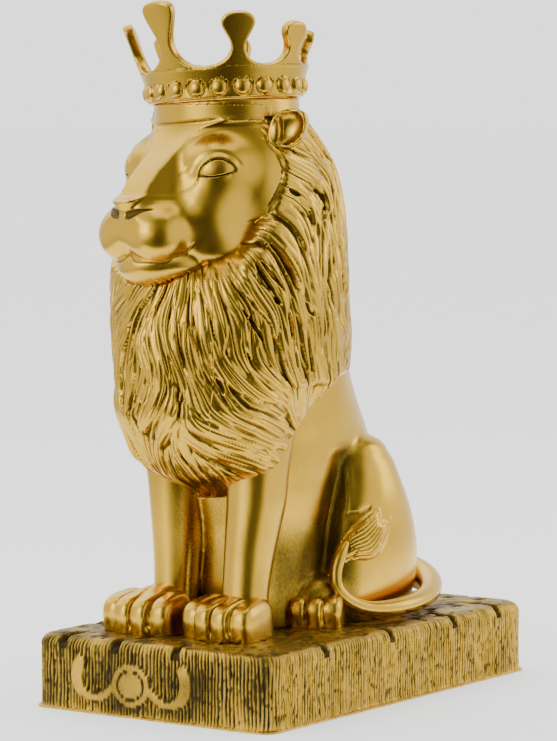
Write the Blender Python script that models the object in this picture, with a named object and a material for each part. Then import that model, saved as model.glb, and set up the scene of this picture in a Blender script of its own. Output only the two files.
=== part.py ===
"""Crowned lion sitting on a rough rectangular plinth.

Metres, +Z up. The lion looks along -Y and its left side is +X.
The origin is on the underside, in the middle of the plinth.
"""
import math

import bmesh
import bpy
from mathutils import Matrix, Vector, noise

# Driving dimensions of the plinth
PLINTH_WIDTH = 0.124
PLINTH_LENGTH = 0.2044
PLINTH_HEIGHT = 0.032
PLINTH_CORNER_RADIUS = 0.007
SHOULDER_DROP = 0.0075
SHOULDER_INSET = 0.0065
LIP_HEIGHT = 0.0014
GROOVE_DEPTH = 0.0011
GROOVE_PITCH = 0.0062
WALL_INSET = 0.0014
ORNAMENT_PROUD = 0.0009
DISC_RADIUS = 0.0065
RING_RADIUS = 0.0101
ORNAMENT_SIDESTEP = -0.009
ORNAMENT_SPREAD = 1.1
CHANNEL_WIDTH = 0.0046
CHANNEL_DEPTH = 0.0028

# Driving dimensions of the lion, and its place on the plinth
LION_HEIGHT = 0.2234
LION_SIDESTEP = -0.0033
LION_SETBACK = 0.0048
HEAD_TURN = math.radians(-10.9)

# Driving dimensions of the crown
CROWN_RADIUS = 0.0330
CROWN_WALL = 0.0043
CROWN_BAND_HEIGHT = 0.0128
CROWN_FLARE = math.tan(math.radians(18.0))
CROWN_LEAN = math.radians(-3.7)
CROWN_TURN = math.radians(-3.2)
# The prongs from the front one round by the lion's left; the two behind are plain stumps
PRONG_DEGREES = (0.0, 48.6, 90.7, 148.3, 205.6, 263.1, 305.3)
PRONG_HEIGHTS = (0.0280, 0.0217, 0.0174, 0.0153, 0.0142, 0.0165, 0.0208)
PRONG_HEAD_WIDTHS = (0.0160, 0.0148, 0.0140, 0.0130, 0.0070, 0.0064, 0.0140)
PRONG_STEM_WIDTHS = (0.0062, 0.0060, 0.0064, 0.0060, 0.0052, 0.0052, 0.0090)
PRONG_CAP = 0.0040
BEADS_PER_PRONG = 3
BEAD_RADIUS = 0.0036
BEAD_SINK = 0.0009
BEAD_HEIGHT = 0.0046
HEAD_BAND_STEP = 0.0020
HEAD_BAND_HEIGHT = 0.0065

# Clearances
REST_GAP = 0.0003
CROWN_CLEARANCE = 0.0006

# One unit of the lion's tables, a millimetre at the size above
UNIT = LION_HEIGHT / 223.4
HEAD_PLACE = Vector((0.0, -46.0, 0.0))
CROWN_PLACE = Vector((0.1, -45.8, 0.0))


def clear_scene():
    for thing in list(bpy.data.objects):
        bpy.data.objects.remove(thing)


def paint(name, colour, roughness):
    material = bpy.data.materials.new(name)
    material.use_nodes = True
    shader = material.node_tree.nodes["Principled BSDF"]
    shader.inputs["Base Color"].default_value = (*colour, 1.0)
    shader.inputs["Metallic"].default_value = 0.9
    shader.inputs["Roughness"].default_value = roughness
    return material


def make_object(name, mesh_builder, material):
    mesh = bpy.data.meshes.new(name)
    mesh_builder.normal_update()
    mesh_builder.to_mesh(mesh)
    mesh_builder.free()
    thing = bpy.data.objects.new(name, mesh)
    bpy.context.scene.collection.objects.link(thing)
    mesh.materials.append(material)
    return thing


def guide(thing):
    thing.hide_render = True
    thing.display_type = "WIRE"
    return thing


def cut_with(thing, cutter, operation="DIFFERENCE"):
    step = thing.modifiers.new(operation.title() + "_" + cutter.name, "BOOLEAN")
    step.object = cutter
    step.operation = operation
    step.solver = "EXACT"


# Closed forms made of rings of points
def loft(bm, rings):
    loops = [[bm.verts.new(point) for point in ring] for ring in rings]
    for lower, upper in zip(loops, loops[1:]):
        count = len(lower)
        for i in range(count):
            j = (i + 1) % count
            bm.faces.new((lower[i], lower[j], upper[j], upper[i]))
    bm.faces.new(list(reversed(loops[0])))
    bm.faces.new(loops[-1])


def stack(bm, sections, place, sides=28):
    """Horizontal ellipses, each (height, x, y, half width, half depth), from low to high."""
    rings = []
    for height, x, y, half_width, half_depth in sections:
        ring = []
        for i in range(sides):
            turn = 2 * math.pi * i / sides
            point = Vector((x + half_width * math.cos(turn), y + half_depth * math.sin(turn), height))
            ring.append(place @ point)
        rings.append(ring)
    loft(bm, rings)


def ball(bm, place, centre, radii, turns=(0, 0, 0)):
    """An ellipsoid; turns are degrees about X, Y and Z."""
    turn = Matrix.Rotation(math.radians(turns[2]), 4, "Z")
    turn = turn @ Matrix.Rotation(math.radians(turns[1]), 4, "Y")
    turn = turn @ Matrix.Rotation(math.radians(turns[0]), 4, "X")
    matrix = place @ Matrix.Translation(centre) @ turn @ Matrix.Diagonal((*radii, 1.0))
    bmesh.ops.create_icosphere(bm, subdivisions=3, radius=1.0, matrix=matrix)


def smooth_path(points, steps=6):
    """Points on a Catmull-Rom curve through tuples of numbers."""
    result = []
    last = len(points) - 1
    for i in range(last):
        a, b, c, d = (points[max(0, min(last, k))] for k in (i - 1, i, i + 1, i + 2))
        for step in range(steps):
            t = step / steps
            result.append(tuple(
                0.5 * (2 * q + (r - p) * t + (2 * p - 5 * q + 4 * r - s) * t * t
                       + (3 * q - p - 3 * r + s) * t ** 3)
                for p, q, r, s in zip(a, b, c, d)))
    result.append(tuple(points[-1]))
    return result


def tube(bm, place, points, flatten=1.0, outward=None, sides=12, steps=6):
    """A round tube through (x, y, z, radius); flatten thins it along outward."""
    path = smooth_path(points, steps)
    rings = []
    for i, (x, y, z, radius) in enumerate(path):
        here = Vector((x, y, z))
        before = Vector(path[max(0, i - 1)][:3])
        after = Vector(path[min(len(path) - 1, i + 1)][:3])
        along = (after - before).normalized()
        side = outward(here) if outward else Vector((0.31, 0.17, 0.94))
        up = (side - along * side.dot(along)).normalized()
        across = along.cross(up)
        ring = []
        for k in range(sides):
            turn = 2 * math.pi * k / sides
            offset = across * math.cos(turn) + up * (math.sin(turn) * flatten)
            ring.append(place @ (here + offset * radius))
        rings.append(ring)
    loft(bm, rings)


# The lion's body, in units; heights are from its soles
TORSO = (
    (-4, 0, 24, 26, 42), (9, 0, 24, 27, 44), (24, 0, 22, 28, 46), (42, 0, 17, 29, 47), (59, 0, 8, 30, 47),
    (77, 0, -2, 31.5, 46), (101, 0, -14, 33, 42), (125, 0, -22, 34, 40), (150, 0, -28, 33, 38),
    (175, 0, -34, 30, 33), (190, 0, -38, 26, 28))
BELLY = (
    (-4, 0, -22, 22, 25), (15, 0, -22, 24, 26), (40, 0, -20, 27, 30), (60, 0, -20, 30, 36),
    (80, 0, -16, 31, 42), (96, 0, -16, 26, 38))
HAUNCH = (
    (-4, 27.5, 15, 13, 25), (9, 27.5, 17.5, 15.5, 33), (24, 28, 19.7, 17, 31.5), (42, 28, 19, 17, 27),
    (59, 27, 17.4, 15.5, 20), (70, 26, 16, 13, 15.5), (77, 25.5, 15, 8.5, 10), (80, 25, 14, 3, 4))
LEFT_FORELEG = (
    (2, 20, -61.5, 9.4, 10.5), (17, 20, -60.6, 8.7, 9.6), (30, 20, -58.3, 9.1, 10.6),
    (43, 20.5, -56, 10, 12), (55, 21, -54, 11, 13), (68, 21, -53, 11.8, 13.4), (90, 22, -51, 14, 17),
    (115, 22, -46, 16, 22))
RIGHT_FORELEG = (
    (2, -20, -56, 9.6, 10.6), (19, -20, -54.5, 9.2, 10.2), (30, -20, -53.6, 9.8, 11.2),
    (47, -20, -53, 11, 13), (60, -20, -53, 12, 14), (90, -22, -51, 14, 17), (115, -22, -46, 16, 22))
TAIL = (
    (4, 62, 15, 8), (18, 64.5, 13.5, 7.5), (31, 61, 11.5, 6.4), (41, 52, 9.5, 5.4),
    (47.5, 40, 7.4, 4.7), (50.5, 27, 6, 4.2), (50.8, 14, 5.3, 3.8), (49, 4, 5.1, 3.5),
    (46, -4.5, 6.2, 3.3), (42, -11.5, 9.8, 3.2), (39, -15.8, 15.5, 3.1), (38.4, -16, 22.5, 3.2),
    (39.5, -12.5, 30, 3.6))
TUFT_TIPS = ((41.5, 2, 52), (43, 7, 52.5), (44.5, 13.5, 48), (45, 13, 41), (44.5, 8.5, 34))

# The mane as a stack of ellipses: (height, y, half width, half depth)
MANE = (
    (57, -55, 14, 12), (64, -55, 28, 22), (72, -53.5, 35, 32), (82, -50, 39, 42), (94, -46.5, 43.5, 51.2),
    (106, -42.5, 46, 55), (123, -42, 47.2, 56.6), (140, -43, 47.2, 55.6), (155, -43, 47, 55),
    (170, -38, 44.8, 48.3), (185, -34, 42.2, 41.2), (198, -33, 38.6, 36), (210, -38, 34.5, 32),
    (219, -43, 30, 28.5))
# How far out the flat sides of its lower half go: (height, distance from the middle)
MANE_SIDES = ((56, 33.5), (80, 35.6), (92, 37.8), (104, 44), (114, 60))
# Hollow of the hair under the chin: (degrees round the mane, depth)
CHIN_HOLLOW = ((-60, 0), (-30, 3), (-12, 5.5), (10, 7), (24, 11), (36, 9), (52, 2), (62, 0))
CHIN_HOLLOW_HEIGHT = 32


def read_row(table, key):
    """The values that a table gives for a key, on straight lines between its rows."""
    for low, high in zip(table, table[1:]):
        if key <= high[0]:
            t = max(0.0, (key - low[0]) / (high[0] - low[0]))
            return [a + (b - a) * t for a, b in zip(low[1:], high[1:])]
    return list(table[-1][1:])


def ease(value, low, high):
    t = max(0.0, min(1.0, (value - low) / (high - low)))
    return t * t * (3 - 2 * t)


def mane_point(turn, height, sink=0.0):
    """turn is 0 in front and grows towards the lion's left; the front is hollowed for the face."""
    y, half_width, half_depth = read_row(MANE, height)
    side = abs(math.degrees(turn - HEAD_TURN))
    under_chin = ease(height, hair_top(turn) - CHIN_HOLLOW_HEIGHT, hair_top(turn) + 4)
    sink += read_row(CHIN_HOLLOW, math.degrees(turn))[0] * under_chin
    sink += 26 * ease(height, 138, 156) * ease(64 - side, 0, 26)
    reach = min(abs((half_width - sink) * math.sin(turn)), read_row(MANE_SIDES, height)[0])
    return Vector((math.copysign(reach, math.sin(turn)), y - (half_depth - sink) * math.cos(turn), height))


def hair_top(turn):
    """Height where the hair leaves the face, for an angle from the muzzle."""
    heights = ((0, 146), (12, 147), (35, 156), (44, 161), (53, 170), (60, 181), (63, 195), (67, 209),
               (76, 215), (200, 221))
    return read_row(heights, abs(math.degrees(turn - HEAD_TURN)))[0]


def hair_end(turn):
    heights = ((0, 58), (25, 60), (48, 63), (70, 65), (88, 69), (95, 92), (104, 103), (180, 104))
    return read_row(heights, abs(math.degrees(turn)))[0]


def hair_lean(turn, height):
    """How far the hair swings away from straight down, in radians, towards the back."""
    side = abs(math.degrees(turn))
    near_face = math.exp(-((side - 55) / 32) ** 2) * max(0.0, min(1.0, (height - 110) / 50))
    low_sweep = math.exp(-((side - 42) / 24) ** 2) * max(0.0, min(1.0, (112 - height) / 30))
    return math.copysign(0.75 * near_face + 0.95 * low_sweep, turn)


def mane_locks():
    """Each lock is a list of (x, y, z, radius) running down the mane."""
    locks = []
    columns = 21
    for row in range(7):
        for column in range(columns):
            turn = 2 * math.pi * (column + 0.5 * (row % 2)) / columns - math.pi + 0.06
            top = hair_top(turn) + 2
            end = hair_end(turn)
            height = top - row * 19.0
            if height < end + 10:
                continue
            length = 42 + 8 * math.sin(column * 2.3 + row * 1.7)
            points = []
            steps = 5
            for step in range(steps + 1):
                t = step / steps
                lean = hair_lean(turn, height)
                size = 4.0 * (0.6 + 1.1 * t) * (1 - t ** 3) + 0.5
                lift = 2.2 * t - 0.7 - 3.6 * t ** 6
                place = mane_point(turn, max(height, end), -lift)
                points.append((*place, size))
                turn += length / steps * math.sin(lean) / 50.0 + 0.03 * math.sin(4 * t + column)
                height -= length / steps * math.cos(lean)
            locks.append(points)
    return locks


def mane_outward(point):
    y, half_width, half_depth = read_row(MANE, point.z)
    return Vector((point.x / half_width ** 2, (point.y - y) / half_depth ** 2, 0.0)).normalized()


def add_paw(bm, place, x, y, turn, size=1.0):
    spot = place @ Matrix.Translation((x, y, 0)) @ Matrix.Rotation(math.radians(turn), 4, "Z")
    spot = spot @ Matrix.Scale(size, 4)
    ball(bm, spot, (0, 17, 5), (14, 15, 9))
    for toe, (side, forward) in enumerate(((-12.3, 4.5), (-4.2, 1.0), (4.2, 1.0), (12.3, 4.5))):
        fan = -6 * (toe - 1.5)
        ball(bm, spot, (side, forward + 10, 6.4), (3.8, 12.5, 8.6), (16, 0, -fan * 0.6))


def add_body(bm, place):
    stack(bm, TORSO, place)
    stack(bm, BELLY, place)
    for side in (1, -1):
        stack(bm, [(z, side * x, y, a, b) for z, x, y, a, b in HAUNCH], place)
        add_paw(bm, place, side * 31.5, -32.5, side * 22, 0.86)
        ball(bm, place, (side * 27, -12, 11), (11.5, 17, 13))
    stack(bm, LEFT_FORELEG, place)
    stack(bm, RIGHT_FORELEG, place)
    add_paw(bm, place, 19, -84.5, 0)
    add_paw(bm, place, -20, -88.5, 0)
    ball(bm, place, (20, -68, 9), (12, 14, 10))
    ball(bm, place, (-20, -68, 9), (12, 18, 10))
    tube(bm, place, TAIL)
    for tip in TUFT_TIPS:
        root = Vector((39.5, -13.5, 29))
        middle = root.lerp(Vector(tip), 0.55) + Vector((1.5, 0, -3.5))
        tube(bm, place, ((*root, 2.4), (*middle, 4.0), (*tip, 0.5)), 0.6, lambda p: Vector((1, -0.2, 0)))


def head_axes(place):
    """The head's own axes: side, forward, up."""
    spot = place @ Matrix.Translation(HEAD_PLACE) @ Matrix.Rotation(HEAD_TURN, 4, "Z")
    return spot @ Matrix.Diagonal((1, -1, 1, 1))


def add_head(bm, place):
    spot = head_axes(place)
    ball(bm, spot, (0, -2, 189), (40, 36.5, 39))
    tube(bm, spot, ((0, 20, 205, 13), (0, 33, 197, 11.5), (0, 44, 187, 9.5), (0, 54, 178.5, 7.5)))
    ball(bm, spot, (0, 37, 170.5), (20.5, 23, 13))
    ball(bm, spot, (0, 56, 180), (8.4, 5.6, 4.0), (-6, 0, 0))
    ball(bm, spot, (0, 30.5, 156.5), (21, 25, 10))
    ball(bm, spot, (0, 42, 155), (14.5, 13.4, 8.8))
    for side in (1, -1):
        ball(bm, spot, (side * 9.5, 46.5, 168.4), (12, 13.3, 12.4))
        ball(bm, spot, (side * 17, 21, 195), (15.5, 15.5, 15))
        ball(bm, spot, (side * 15, 25, 177), (15.5, 17, 15))
        ball(bm, spot, (side * 15, 18, 163), (17, 21, 12))
        add_ear(bm, spot, side)


def make_face_details(place, material):
    """Eyes and nose that are added, and the mouth line that is cut, after the body is faceted."""
    spot = head_axes(place)
    added = bmesh.new()
    for side in (1, -1):
        turn = Matrix.Rotation(math.radians(side * 46), 4, "Z") @ Matrix.Diagonal((7.6, 3.6, 4.0, 1))
        matrix = spot @ Matrix.Translation((side * 25.6, 30.8, 195.6)) @ turn
        bmesh.ops.create_uvsphere(added, u_segments=10, v_segments=6, radius=1.0, matrix=matrix)
    matrix = spot @ Matrix.Translation((0, 56.5, 180)) @ Matrix.Diagonal((8.0, 5.4, 3.8, 1))
    bmesh.ops.create_uvsphere(added, u_segments=12, v_segments=7, radius=1.0, matrix=matrix)
    bmesh.ops.recalc_face_normals(added, faces=added.faces)
    mouth = bmesh.new()
    half = ((21.6, 40.5, 163.5, 0.8), (18, 44.5, 159.8, 1.5), (12, 52.2, 157.6, 1.8), (5, 55.3, 157.6, 1.8))
    points = [(-a, b, c, r) for a, b, c, r in half] + [(0, 56.0, 161.0, 1.8)] + list(reversed(half))
    tube(mouth, spot, points, 1.0, None, 6, 2)
    bmesh.ops.recalc_face_normals(mouth, faces=mouth.faces)
    return (guide(make_object("eyes_and_nose", added, material)),
            guide(make_object("mouth_line", mouth, material)))


def add_ear(bm, spot, side):
    centre = Vector((side * 39.5, 2.0, 212.5))
    axis = Vector((side * 0.55, 0.83, 0.05)).normalized()
    ball(bm, spot, centre - axis * 3.2, (6.6, 3.4, 7.0), (0, 0, side * -33))
    across = axis.cross(Vector((0, 0, 1))).normalized()
    upward = across.cross(axis)
    points = []
    for step in range(15):
        turn = math.radians(-200 + 290 * step / 14)
        spot_on_rim = centre + across * (6.2 * math.cos(turn)) + upward * (6.4 * math.sin(turn))
        points.append((*spot_on_rim, 2.1))
    tube(bm, spot, points)


def seat_matrix():
    """The crown's own frame: on the head band, leaning with it."""
    head = Vector((LION_SIDESTEP, LION_SETBACK, PLINTH_HEIGHT + REST_GAP)) + CROWN_PLACE * UNIT
    place = Matrix.Translation(head + Vector((0, 0, LION_HEIGHT)))
    return place @ Matrix.Rotation(CROWN_LEAN, 4, "Y") @ Matrix.Rotation(CROWN_TURN, 4, "Z")


def circle(place, radius, height, sides):
    turns = [2 * math.pi * i / sides for i in range(sides)]
    return [place @ Vector((radius * math.cos(turn), radius * math.sin(turn), height)) for turn in turns]


def make_lion(material):
    bm = bmesh.new()
    place = Matrix.Scale(UNIT, 4)
    add_body(bm, place)
    levels = [MANE[0][0] + (MANE[-1][0] - MANE[0][0]) * i / 36 for i in range(37)]
    turns = [2 * math.pi * i / 60 for i in range(60)]
    loft(bm, [[place @ mane_point(turn, level, 1.5) for turn in turns] for level in levels])
    for lock in mane_locks():
        tube(bm, place, lock, 0.75, mane_outward, 8)
    add_head(bm, place)
    stand = Matrix.Translation((LION_SIDESTEP, LION_SETBACK, PLINTH_HEIGHT + REST_GAP))
    seat = stand.inverted() @ seat_matrix()
    band_radius = CROWN_RADIUS - HEAD_BAND_STEP
    band = ((-HEAD_BAND_HEIGHT * 2.2, band_radius * 0.97), (-HEAD_BAND_HEIGHT, band_radius),
            (0.004, band_radius))
    loft(bm, [circle(seat, radius, height, 40) for height, radius in band])
    lion = make_object("lion", bm, material)
    lion.matrix_world = stand

    remesh = lion.modifiers.new("Fuse", "REMESH")
    remesh.mode = "VOXEL"
    remesh.voxel_size = 0.0016
    smooth = lion.modifiers.new("Soften", "SMOOTH")
    smooth.factor = 0.5
    smooth.iterations = 1
    decimate = lion.modifiers.new("Facets", "DECIMATE")
    decimate.ratio = 0.0395

    features, mouth = make_face_details(stand @ place, material)
    cut_with(lion, features, "UNION")
    cut_with(lion, mouth)

    reach = 0.4
    floor = bmesh.new()
    below = Matrix.Translation((0, 0, PLINTH_HEIGHT + REST_GAP - reach / 2))
    bmesh.ops.create_cube(floor, size=1.0, matrix=below @ Matrix.Diagonal((reach, reach, reach, 1)))
    cut_with(lion, guide(make_object("sole_cutter", floor, material)))

    plug = CROWN_RADIUS - CROWN_WALL - CROWN_CLEARANCE
    dome = ((plug * 0.3, 0.0085), (plug * 0.75, 0.0055), (plug, 0.0), (0.09, 0.0), (0.09, 0.03))
    bm = bmesh.new()
    loft(bm, [circle(seat_matrix(), radius, height, 48) for radius, height in dome])
    bmesh.ops.recalc_face_normals(bm, faces=bm.faces)
    cut_with(lion, guide(make_object("seat_cutter", bm, material)))
    return lion


# The crown
def wall_radius(height):
    return CROWN_RADIUS + CROWN_FLARE * max(0.0, height - BEAD_HEIGHT)


def prong_half_width(rise, tall, stem_width, head_width, reach):
    """Half width of a prong at a rise above the arch beside it, whose middle is at reach."""
    stem_rise = 0.36 * tall
    head_rise = tall - PRONG_CAP
    stem = stem_width / 2
    head = head_width / 2
    if rise < stem_rise:
        fall = 1 - rise / stem_rise
        return reach - (reach - stem) * math.sqrt(1 - fall * fall)
    if rise < head_rise:
        t = (rise - stem_rise) / (head_rise - stem_rise)
        return stem + (head - stem) * (0.25 * t + 0.75 * t * t * (3 - 2 * t))
    t = (rise - head_rise) / (tall - head_rise)
    return head * (1 - t ** 2.4) ** (1 / 2.4) + 0.0012 * t


def prong_rises(tall):
    stem_rise = 0.36 * tall
    head_rise = tall - PRONG_CAP
    rises = [stem_rise * part for part in (0.04, 0.2, 0.5, 1.0)]
    rises += [stem_rise + (head_rise - stem_rise) * part for part in (0.5, 1.0)]
    return rises + [head_rise + (tall - head_rise) * part for part in (0.7, 1.0)]


def make_crown(material):
    prongs = len(PRONG_HEIGHTS)
    columns = 3
    inner_lift = CROWN_WALL * math.sin(math.atan(CROWN_FLARE))
    bm = bmesh.new()
    for index, tall in enumerate(PRONG_HEIGHTS):
        degrees = PRONG_DEGREES[index]
        before = math.radians((degrees - PRONG_DEGREES[index - 1]) % 360) / 2
        after = math.radians((PRONG_DEGREES[(index + 1) % prongs] - degrees) % 360) / 2
        rows = [(0.0, before, after), (CROWN_BAND_HEIGHT, before, after)]
        for rise in prong_rises(tall):
            radius = wall_radius(CROWN_BAND_HEIGHT + rise)
            shape = (tall, PRONG_STEM_WIDTHS[index], PRONG_HEAD_WIDTHS[index])
            halves = [prong_half_width(rise, *shape, gap * radius) / radius for gap in (before, after)]
            rows.append((CROWN_BAND_HEIGHT + rise, *halves))
        sheets = []
        for depth, lift in ((0.0, 0.0), (CROWN_WALL, inner_lift)):
            sheet = []
            for height, left, right in rows:
                radius = wall_radius(height) - depth
                level = height + lift if height > 0 else 0.0
                line = []
                for column in range(columns + 1):
                    turn = math.radians(degrees) - left + (left + right) * column / columns
                    line.append(bm.verts.new((radius * math.sin(turn), -radius * math.cos(turn), level)))
                sheet.append(line)
            sheets.append(sheet)
        outer, inner = sheets
        for row in range(len(rows) - 1):
            for c in range(columns):
                bm.faces.new((outer[row][c], outer[row][c + 1], outer[row + 1][c + 1], outer[row + 1][c]))
                bm.faces.new((inner[row][c], inner[row + 1][c], inner[row + 1][c + 1], inner[row][c + 1]))
            if row > 0:
                for edge in (0, columns):
                    bm.faces.new((outer[row][edge], outer[row + 1][edge],
                                  inner[row + 1][edge], inner[row][edge]))
        for row in (0, len(rows) - 1):
            for c in range(columns):
                bm.faces.new((outer[row][c], outer[row][c + 1], inner[row][c + 1], inner[row][c]))
    bmesh.ops.remove_doubles(bm, verts=bm.verts, dist=0.00002)
    bmesh.ops.recalc_face_normals(bm, faces=bm.faces)
    crown = make_object("crown", bm, material)
    place = Matrix.Translation((0, 0, REST_GAP))
    crown.matrix_world = seat_matrix() @ place

    beads = bmesh.new()
    count = prongs * BEADS_PER_PRONG
    for index in range(count):
        turn = 2 * math.pi * index / count
        spot = Vector((math.sin(turn), -math.cos(turn), 0)) * (CROWN_RADIUS - BEAD_SINK)
        spot.z = BEAD_HEIGHT
        bmesh.ops.create_uvsphere(beads, u_segments=6, v_segments=4, radius=BEAD_RADIUS,
                                  matrix=Matrix.Translation(spot) @ Matrix.Rotation(turn, 4, "Z")
                                  @ Matrix.Rotation(math.pi / 2, 4, "X"))
    bead_row = guide(make_object("bead_row", beads, material))
    bead_row.matrix_world = crown.matrix_world
    cut_with(crown, bead_row, "UNION")
    return crown


# The plinth
def plinth_outline(inset):
    """Points round a rounded rectangle at the groove pitch, with their outward directions."""
    half_x = PLINTH_WIDTH / 2 - inset
    half_y = PLINTH_LENGTH / 2 - inset
    corner = PLINTH_CORNER_RADIUS
    points = []
    runs = ((half_x, -half_y, 0, 1, half_y), (half_x, half_y, -1, 0, half_x),
            (-half_x, half_y, 0, -1, half_y), (-half_x, -half_y, 1, 0, half_x))
    for start_x, start_y, step_x, step_y, half in runs:
        outer = PLINTH_LENGTH / 2 if step_y else PLINTH_WIDTH / 2
        count = 2 * round((outer - corner) / GROOVE_PITCH)
        for i in range(count + 1):
            travel = corner + (2 * half - 2 * corner) * i / count
            points.append((Vector((start_x + step_x * travel, start_y + step_y * travel, 0)),
                           Vector((step_y, -step_x, 0))))
        centre = Vector((start_x + step_x * (2 * half - corner) - step_y * corner,
                         start_y + step_y * (2 * half - corner) + step_x * corner, 0))
        for i in (1, 2):
            turn = math.atan2(-step_x, step_y) + math.radians(30 * i)
            way = Vector((math.cos(turn), math.sin(turn), 0))
            points.append((centre + way * corner, way))
    return points


def make_plinth(material):
    shoulder = PLINTH_HEIGHT - SHOULDER_DROP
    levels = ((0.0, 0.0, 0.0), (LIP_HEIGHT, 0.0, 0.0), (LIP_HEIGHT * 1.8, WALL_INSET, 1.0),
              (shoulder, WALL_INSET, 1.0),
              (PLINTH_HEIGHT - 0.3 * SHOULDER_DROP, WALL_INSET + 0.35 * SHOULDER_INSET, 0.2),
              (PLINTH_HEIGHT, WALL_INSET + SHOULDER_INSET, 0.0))
    bm = bmesh.new()
    loops = []
    for height, inset, grooved in levels:
        loop = []
        for i, (point, way) in enumerate(plinth_outline(inset)):
            wobble = noise.noise(Vector((point.x * 90, point.y * 90, 3.1)))
            depth = GROOVE_DEPTH * (0.75 + wobble) if i % 2 else -0.0004
            loop.append(bm.verts.new(point - way * (depth * grooved) + Vector((0, 0, height))))
        loops.append(loop)
    for lower, upper in zip(loops, loops[1:]):
        for i in range(len(lower)):
            j = (i + 1) % len(lower)
            bm.faces.new((lower[i], lower[j], upper[j], upper[i]))
    bm.faces.new(list(reversed(loops[0])))
    bm.faces.new(loops[-1])
    bmesh.ops.recalc_face_normals(bm, faces=bm.faces)
    plinth = make_object("plinth", bm, material)

    front = WALL_INSET - PLINTH_LENGTH / 2
    middle = PLINTH_HEIGHT * 0.42
    aside = ORNAMENT_SIDESTEP
    spread = ORNAMENT_SPREAD / 1000
    ornament = bmesh.new()
    for radius, proud in ((RING_RADIUS, ORNAMENT_PROUD), (DISC_RADIUS, ORNAMENT_PROUD * 1.5)):
        thick = proud + 0.003
        spot = Matrix.Translation((aside, front + 0.003 - thick / 2, middle))
        bmesh.ops.create_cone(ornament, cap_ends=True, segments=20, radius1=radius, radius2=radius * 0.9,
                              depth=thick, matrix=spot @ Matrix.Rotation(math.pi / 2, 4, "X"))
        disc = guide(make_object(f"disc_{round(radius * 1e4)}", ornament, material))
        cut_with(plinth, disc, "UNION")
        ornament = bmesh.new()
    ornament.free()
    for side in (1, -1):
        scroll = bmesh.new()
        points = ((8.5, -1.5, 2.0), (13, -5.5, 1.9), (18.5, -6.6, 2.0), (23.5, -3.5, 2.4), (25.5, 2.5, 3.0),
                  (24, 8, 3.2))
        tube(scroll, Matrix.Translation((aside, front + 0.0004, middle)),
             [(side * x * spread, 0.0, z / 1000, r / 1000) for x, z, r in points],
             0.55, lambda p: Vector((0, 1, 0)), 6, 3)
        cut_with(plinth, guide(make_object(f"scroll_{side + 1}", scroll, material)), "UNION")

    edge_x = PLINTH_WIDTH / 2
    cuts = ((-45, front, 0, 16), (-18, front, 0, 9), (13, front, 4, 12), (-26, -front, 0, 16),
            (16, -front, 0, 14), (edge_x, -58, 90, 18), (edge_x, -8, 90, 11), (edge_x, 42, 96, 16),
            (edge_x, 78, 84, 22), (-edge_x, -64, 90, 16), (-edge_x, -10, 90, 14), (-edge_x, 38, 90, 18),
            (-edge_x, 80, 90, 14))
    channels = bmesh.new()
    for x, y, turn, length in cuts:
        x = x if abs(x) < 1 else x / 1000
        y = y if abs(y) < 1 else y / 1000
        block = Matrix.Translation((x, y, PLINTH_HEIGHT)) @ Matrix.Rotation(math.radians(turn), 4, "Z")
        block = block @ Matrix.Diagonal((CHANNEL_WIDTH, 2 * length / 1000, 2 * CHANNEL_DEPTH, 1))
        bmesh.ops.create_cube(channels, size=1.0, matrix=block)
    cut_with(plinth, guide(make_object("channels", channels, material)))
    return plinth


def main():
    clear_scene()
    gold = paint("gold_paint", (0.60, 0.40, 0.11), 0.34)
    dull_gold = paint("dull_gold_paint", (0.55, 0.37, 0.11), 0.45)
    make_plinth(dull_gold)
    make_lion(gold)
    make_crown(gold)


main()
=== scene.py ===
import math
import bpy
import bmesh
import numpy as np
from mathutils import Matrix, Vector


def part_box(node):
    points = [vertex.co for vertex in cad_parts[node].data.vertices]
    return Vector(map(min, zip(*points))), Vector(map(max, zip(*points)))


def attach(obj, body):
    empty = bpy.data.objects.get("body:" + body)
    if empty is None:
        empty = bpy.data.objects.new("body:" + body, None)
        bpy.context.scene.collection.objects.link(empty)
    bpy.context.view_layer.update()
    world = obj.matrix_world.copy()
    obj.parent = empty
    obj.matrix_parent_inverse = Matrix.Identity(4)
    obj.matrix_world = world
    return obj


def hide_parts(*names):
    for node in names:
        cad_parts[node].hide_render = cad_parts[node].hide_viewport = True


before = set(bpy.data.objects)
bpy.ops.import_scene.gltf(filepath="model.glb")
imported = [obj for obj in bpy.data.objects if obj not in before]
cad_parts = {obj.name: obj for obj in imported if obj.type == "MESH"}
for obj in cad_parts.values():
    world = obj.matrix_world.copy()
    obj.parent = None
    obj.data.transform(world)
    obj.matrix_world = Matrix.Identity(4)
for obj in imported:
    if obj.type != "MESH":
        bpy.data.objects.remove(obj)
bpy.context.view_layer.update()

lionLow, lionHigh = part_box("lion")
plinthLow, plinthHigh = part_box("plinth")
mm = 0.001

# Where the lion stands: its tables below are in millimetres from the soles
stance = {
    "sidestep": -3.3,
    "setback": 4.8,
    "soles": lionLow.z / mm,
    "headTurn": math.radians(-10.9),  # the head looks a little to the lion's right
    "headPlace": (0.0, -46.0),
    "crownPlace": (0.1, -45.8, 223.4),
    "crownLean": math.radians(-3.7), "crownTurn": math.radians(-3.2),
}
lionPlace = np.array([stance["sidestep"], stance["setback"], stance["soles"]])


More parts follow.
